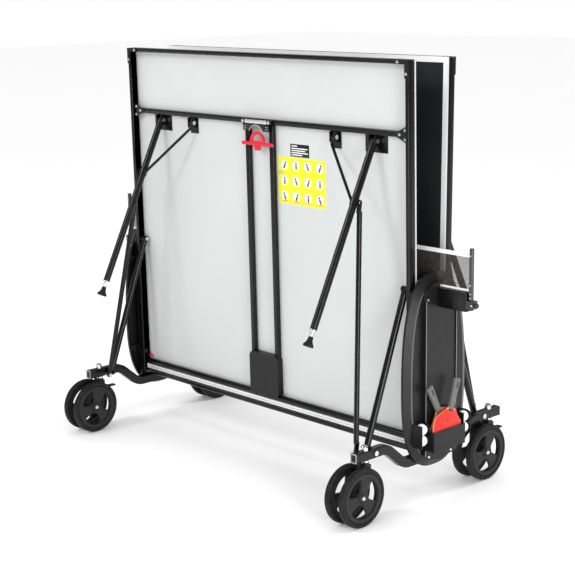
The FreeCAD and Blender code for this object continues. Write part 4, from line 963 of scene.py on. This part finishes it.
sticker = film(STICKER_X, STICKER_WIDTH, STICKER_Z, STICKER_HEIGHT, 1)
label = film(LABEL_X, LABEL_WIDTH, LABEL_Z, LABEL_HEIGHT, 1)
bars = [film(LABEL_X + 6, width, z, 4, 2) for width, z in LABEL_BARS]
plates, figures, warnings = [], [], []
for row in range(STICKER_ROWS):
    z = STICKER_Z + STICKER_HEIGHT * (row + 0.5) / STICKER_ROWS
    v = z - foot_z
    for column in range(STICKER_COLUMNS):
        x = STICKER_X + STICKER_WIDTH * (column + 0.5) / STICKER_COLUMNS
        lean_x = 4 * ((row + 2 * column) % 3 - 1)
        plates.append(coin(19, -0.1, 0.1, at(x, v, BOARD + 0.4), along_d, 24))
        figures += [bar(at(x - lean_x, v - 13, FIGURE_D), at(x + lean_x, v + 4, FIGURE_D), along_d,
                        0.3, 7, 0.12, 2),
                    coin(4, -0.1, 0.15, at(x + 1.3 * lean_x, v + 9.5, FIGURE_D), along_d, 12)]
        if row == 0:
            warnings.append(film(x - 12, 24, z - 18.5, 3, 4))
knob = revolved([(0, 0), (6.5, 0), (7, 2), (6.5, 6), (4, 8), (0, 8.5)],
                at(103, 1128 - foot_z, BOARD + 0.2), along_d, 28)
pins = [round_bar(at(94, 62, 10), at(94, 96, 10), 2.6)]
pins += [screw(3, 2, at(x, 30, BOARD), along_d, 12) for x in (-727, -713)]
catch = half_bar(1 - inner_w, 24 - inner_w, 66, 76, 7, 17, 3)
near_and_far("bright_pins", pins, chrome, "half")
near_and_far("catch_tip", [catch], red_plastic, "half")
piece("sticker_knob", [knob], zinc, "near_half")
for name, parts, finish in (
        ("instruction_sticker", [sticker], yellow_film), ("sticker_plates", plates, white_film),
        ("sticker_figures", figures, black_film), ("sticker_warnings", warnings, red_film),
        ("rating_label", [label], black_film), ("rating_label_bars", bars, white_film)):
    piece(name, parts, finish, "near_half")

# %% [markdown]
# ## Painted highlights on the shields
# Two ridges stiffen each shield. A slim pale bead lies along each crest, from near its foot to near
# its top: a painted highlight, for the light that the rounded crest catches.

# %% Shield ridge highlights
RIDGE_Y = 81 * MM
shield_low, shield_high = box_of("right_shield")
highlight_bead_x = shield_high[0] - 0.2 * MM
# pale beads on the ridge crests: painted highlights
highlight_beads = [bar((highlight_bead_x, y, shield_low[2] + 52 * MM), (highlight_bead_x, y, shield_high[2] - 92 * MM), Y_AXIS,
             1.8, 1.6, 0.75, 3) for y in (net_y - RIDGE_Y, net_y + RIDGE_Y)]
piece("shield_highlight_beads", both_ends(highlight_beads), trim_grey, "chassis")

# %% [markdown]
# ### The painted highlight on the shields' edges
# A slim grey strip runs up each shield where its slope meets its face, and over its shoulders: a
# painted highlight along the slope. It follows the shield's own outline: a superellipse whose half
# width at an angle is the full half width times the sine to the power 2 / 2.6, with the height from
# the cosine in the same way.

# %% Shield edge highlight
OUTLINE_POWER = 2 / 2.6
SLOPE_WIDTH, SLOPE_DEPTH = 27 * MM, 16 * MM
wide_z = shield_low[2] + 302 * MM
flat_half = (shield_high[1] - shield_low[1]) / 2 - SLOPE_WIDTH
strips = []
for sign in (-1, 1):
    t = np.linspace(0.16 * math.pi, 0.80 * math.pi, 72)
    y = net_y + sign * np.sin(t) ** OUTLINE_POWER * flat_half
    tall = np.where(np.cos(t) > 0, shield_high[2] - wide_z, wide_z - shield_low[2]) - SLOPE_WIDTH
    z = wide_z + signed_power(np.cos(t), OUTLINE_POWER) * tall
    path = np.stack([np.full(len(t), shield_high[0] - SLOPE_DEPTH), y, z], axis=1)
    taper = np.sin(np.linspace(0.06, 0.94, len(t)) * math.pi) ** 0.5
    strips.append(carried(path, X_AXIS, 1.6, 7 * taper, 0.7, 2))
# the painted highlight strips along the shields' slopes
piece("shield_edge_highlight", both_ends(strips), painted_highlight_grey, "chassis")

# %% [markdown]
# ## The parts that keep their mesh
# Brackets, legs, braces, arms and rods are welded steel under one black powder coat. The guide
# blocks, caps, forks and pedals are moulded. Bolts are zinc plated, and the caster stems are
# polished. Each CAD node takes a finish by the end of its name, or black powder coat.

# %% Dress the nodes
FINISHES = (
    (black_plastic, "lock_cover guide_blocks beam_end_caps fork pedal bat_pocket net"),
    (shield_plastic, "ball_holders shield"), (zinc, "pivot_bolts chassis_bolts"),
    (chrome, "caster_stems"), (post_paint, "net_posts net_clamps"), (silver, "latch_plate"),
    (red_plastic, "latch_handle bat"), (foot_rubber, "feet"), (wheel_plastic, "wheels"),
    (underside_coat, "top_panel"), (line_paint, "balls"))

for node, thing in nodes.items():
    matches = [finish for finish, endings in FINISHES if node.endswith(tuple(endings.split()))]
    for i in range(len(thing.data.materials)):
        thing.data.materials[i] = (matches + [black_coat])[0]
print("dressed", len(nodes), "nodes")

# %% [markdown]
# ## Floor and light
# A pale seamless floor and four soft lamps: a high key from the front left, a fill from the
# right, a rim from behind, and a low strip that draws the highlight on the shield's slope.
# Their reflections are the long soft highlights on the black tubes. The white surround lights
# everything, but it is dimmed in reflections, as when black flags stand round a glossy product,
# so that black paint stays black.

# %% Floor and lamps
FLOOR_HALF = 30.0
REFLECTED_SURROUND = 0.28
MIDDLE = (0.0, 0.0, 0.7)


def lamp(name, place, target, size, power):
    """A square soft lamp at a place, turned towards a target."""
    data = bpy.data.lights.new(name, "AREA")
    data.size = size
    data.energy = power
    made = bpy.data.objects.new(name, data)
    made.location = place
    made.rotation_euler = (Vector(target) - Vector(place)).to_track_quat("-Z", "Y").to_euler()
    bpy.context.collection.objects.link(made)


floor_corners = FLOOR_HALF * np.array([(-1, -1, 0), (1, -1, 0), (1, 1, 0), (-1, 1, 0)])
floor_mesh = bpy.data.meshes.new("floor")
floor_mesh.from_pydata(floor_corners.tolist(), [], [(0, 1, 2, 3)])
floor = bpy.data.objects.new("floor", floor_mesh)
floor_finish = Finish("pale_floor", roughness=0.7, specular=0.2)
floor_finish.colour(floor_finish.noise(1.5), grey(0.97), grey(0.99))
floor_finish.shader.inputs["Emission Color"].default_value = grey(1.0)
floor_finish.shader.inputs["Emission Strength"].default_value = 0.05
floor_mesh.materials.append(floor_finish.material)
bpy.context.collection.objects.link(floor)

lamp("key", (-1.5, -4.5, 4.2), MIDDLE, 1.3, 85.0)
lamp("fill", (4.6, -1.9, 1.4), MIDDLE, 1.0, 60.0)
lamp("rim", (1.5, 4.0, 3.4), MIDDLE, 1.0, 60.0)
lamp("low_strip", (3.4, -1.05, 0.45), (0.8, -0.1, 0.5), 0.9, 16.0)
world = bpy.data.worlds.new("studio")
world.use_nodes = True
world_nodes, world_links = world.node_tree.nodes, world.node_tree.links
world_nodes["Background"].inputs["Color"].default_value = (1.0, 1.0, 1.0, 1.0)
light_path = world_nodes.new("ShaderNodeLightPath")
dimmer = world_nodes.new("ShaderNodeMapRange")
dimmer.inputs["To Min"].default_value = 1.0
dimmer.inputs["To Max"].default_value = REFLECTED_SURROUND
world_links.new(light_path.outputs["Is Glossy Ray"], dimmer.inputs["Value"])
world_links.new(dimmer.outputs["Result"], world_nodes["Background"].inputs["Strength"])
bpy.context.scene.world = world
bpy.context.scene.view_settings.view_transform = "Standard"
print("floor and four lamps")
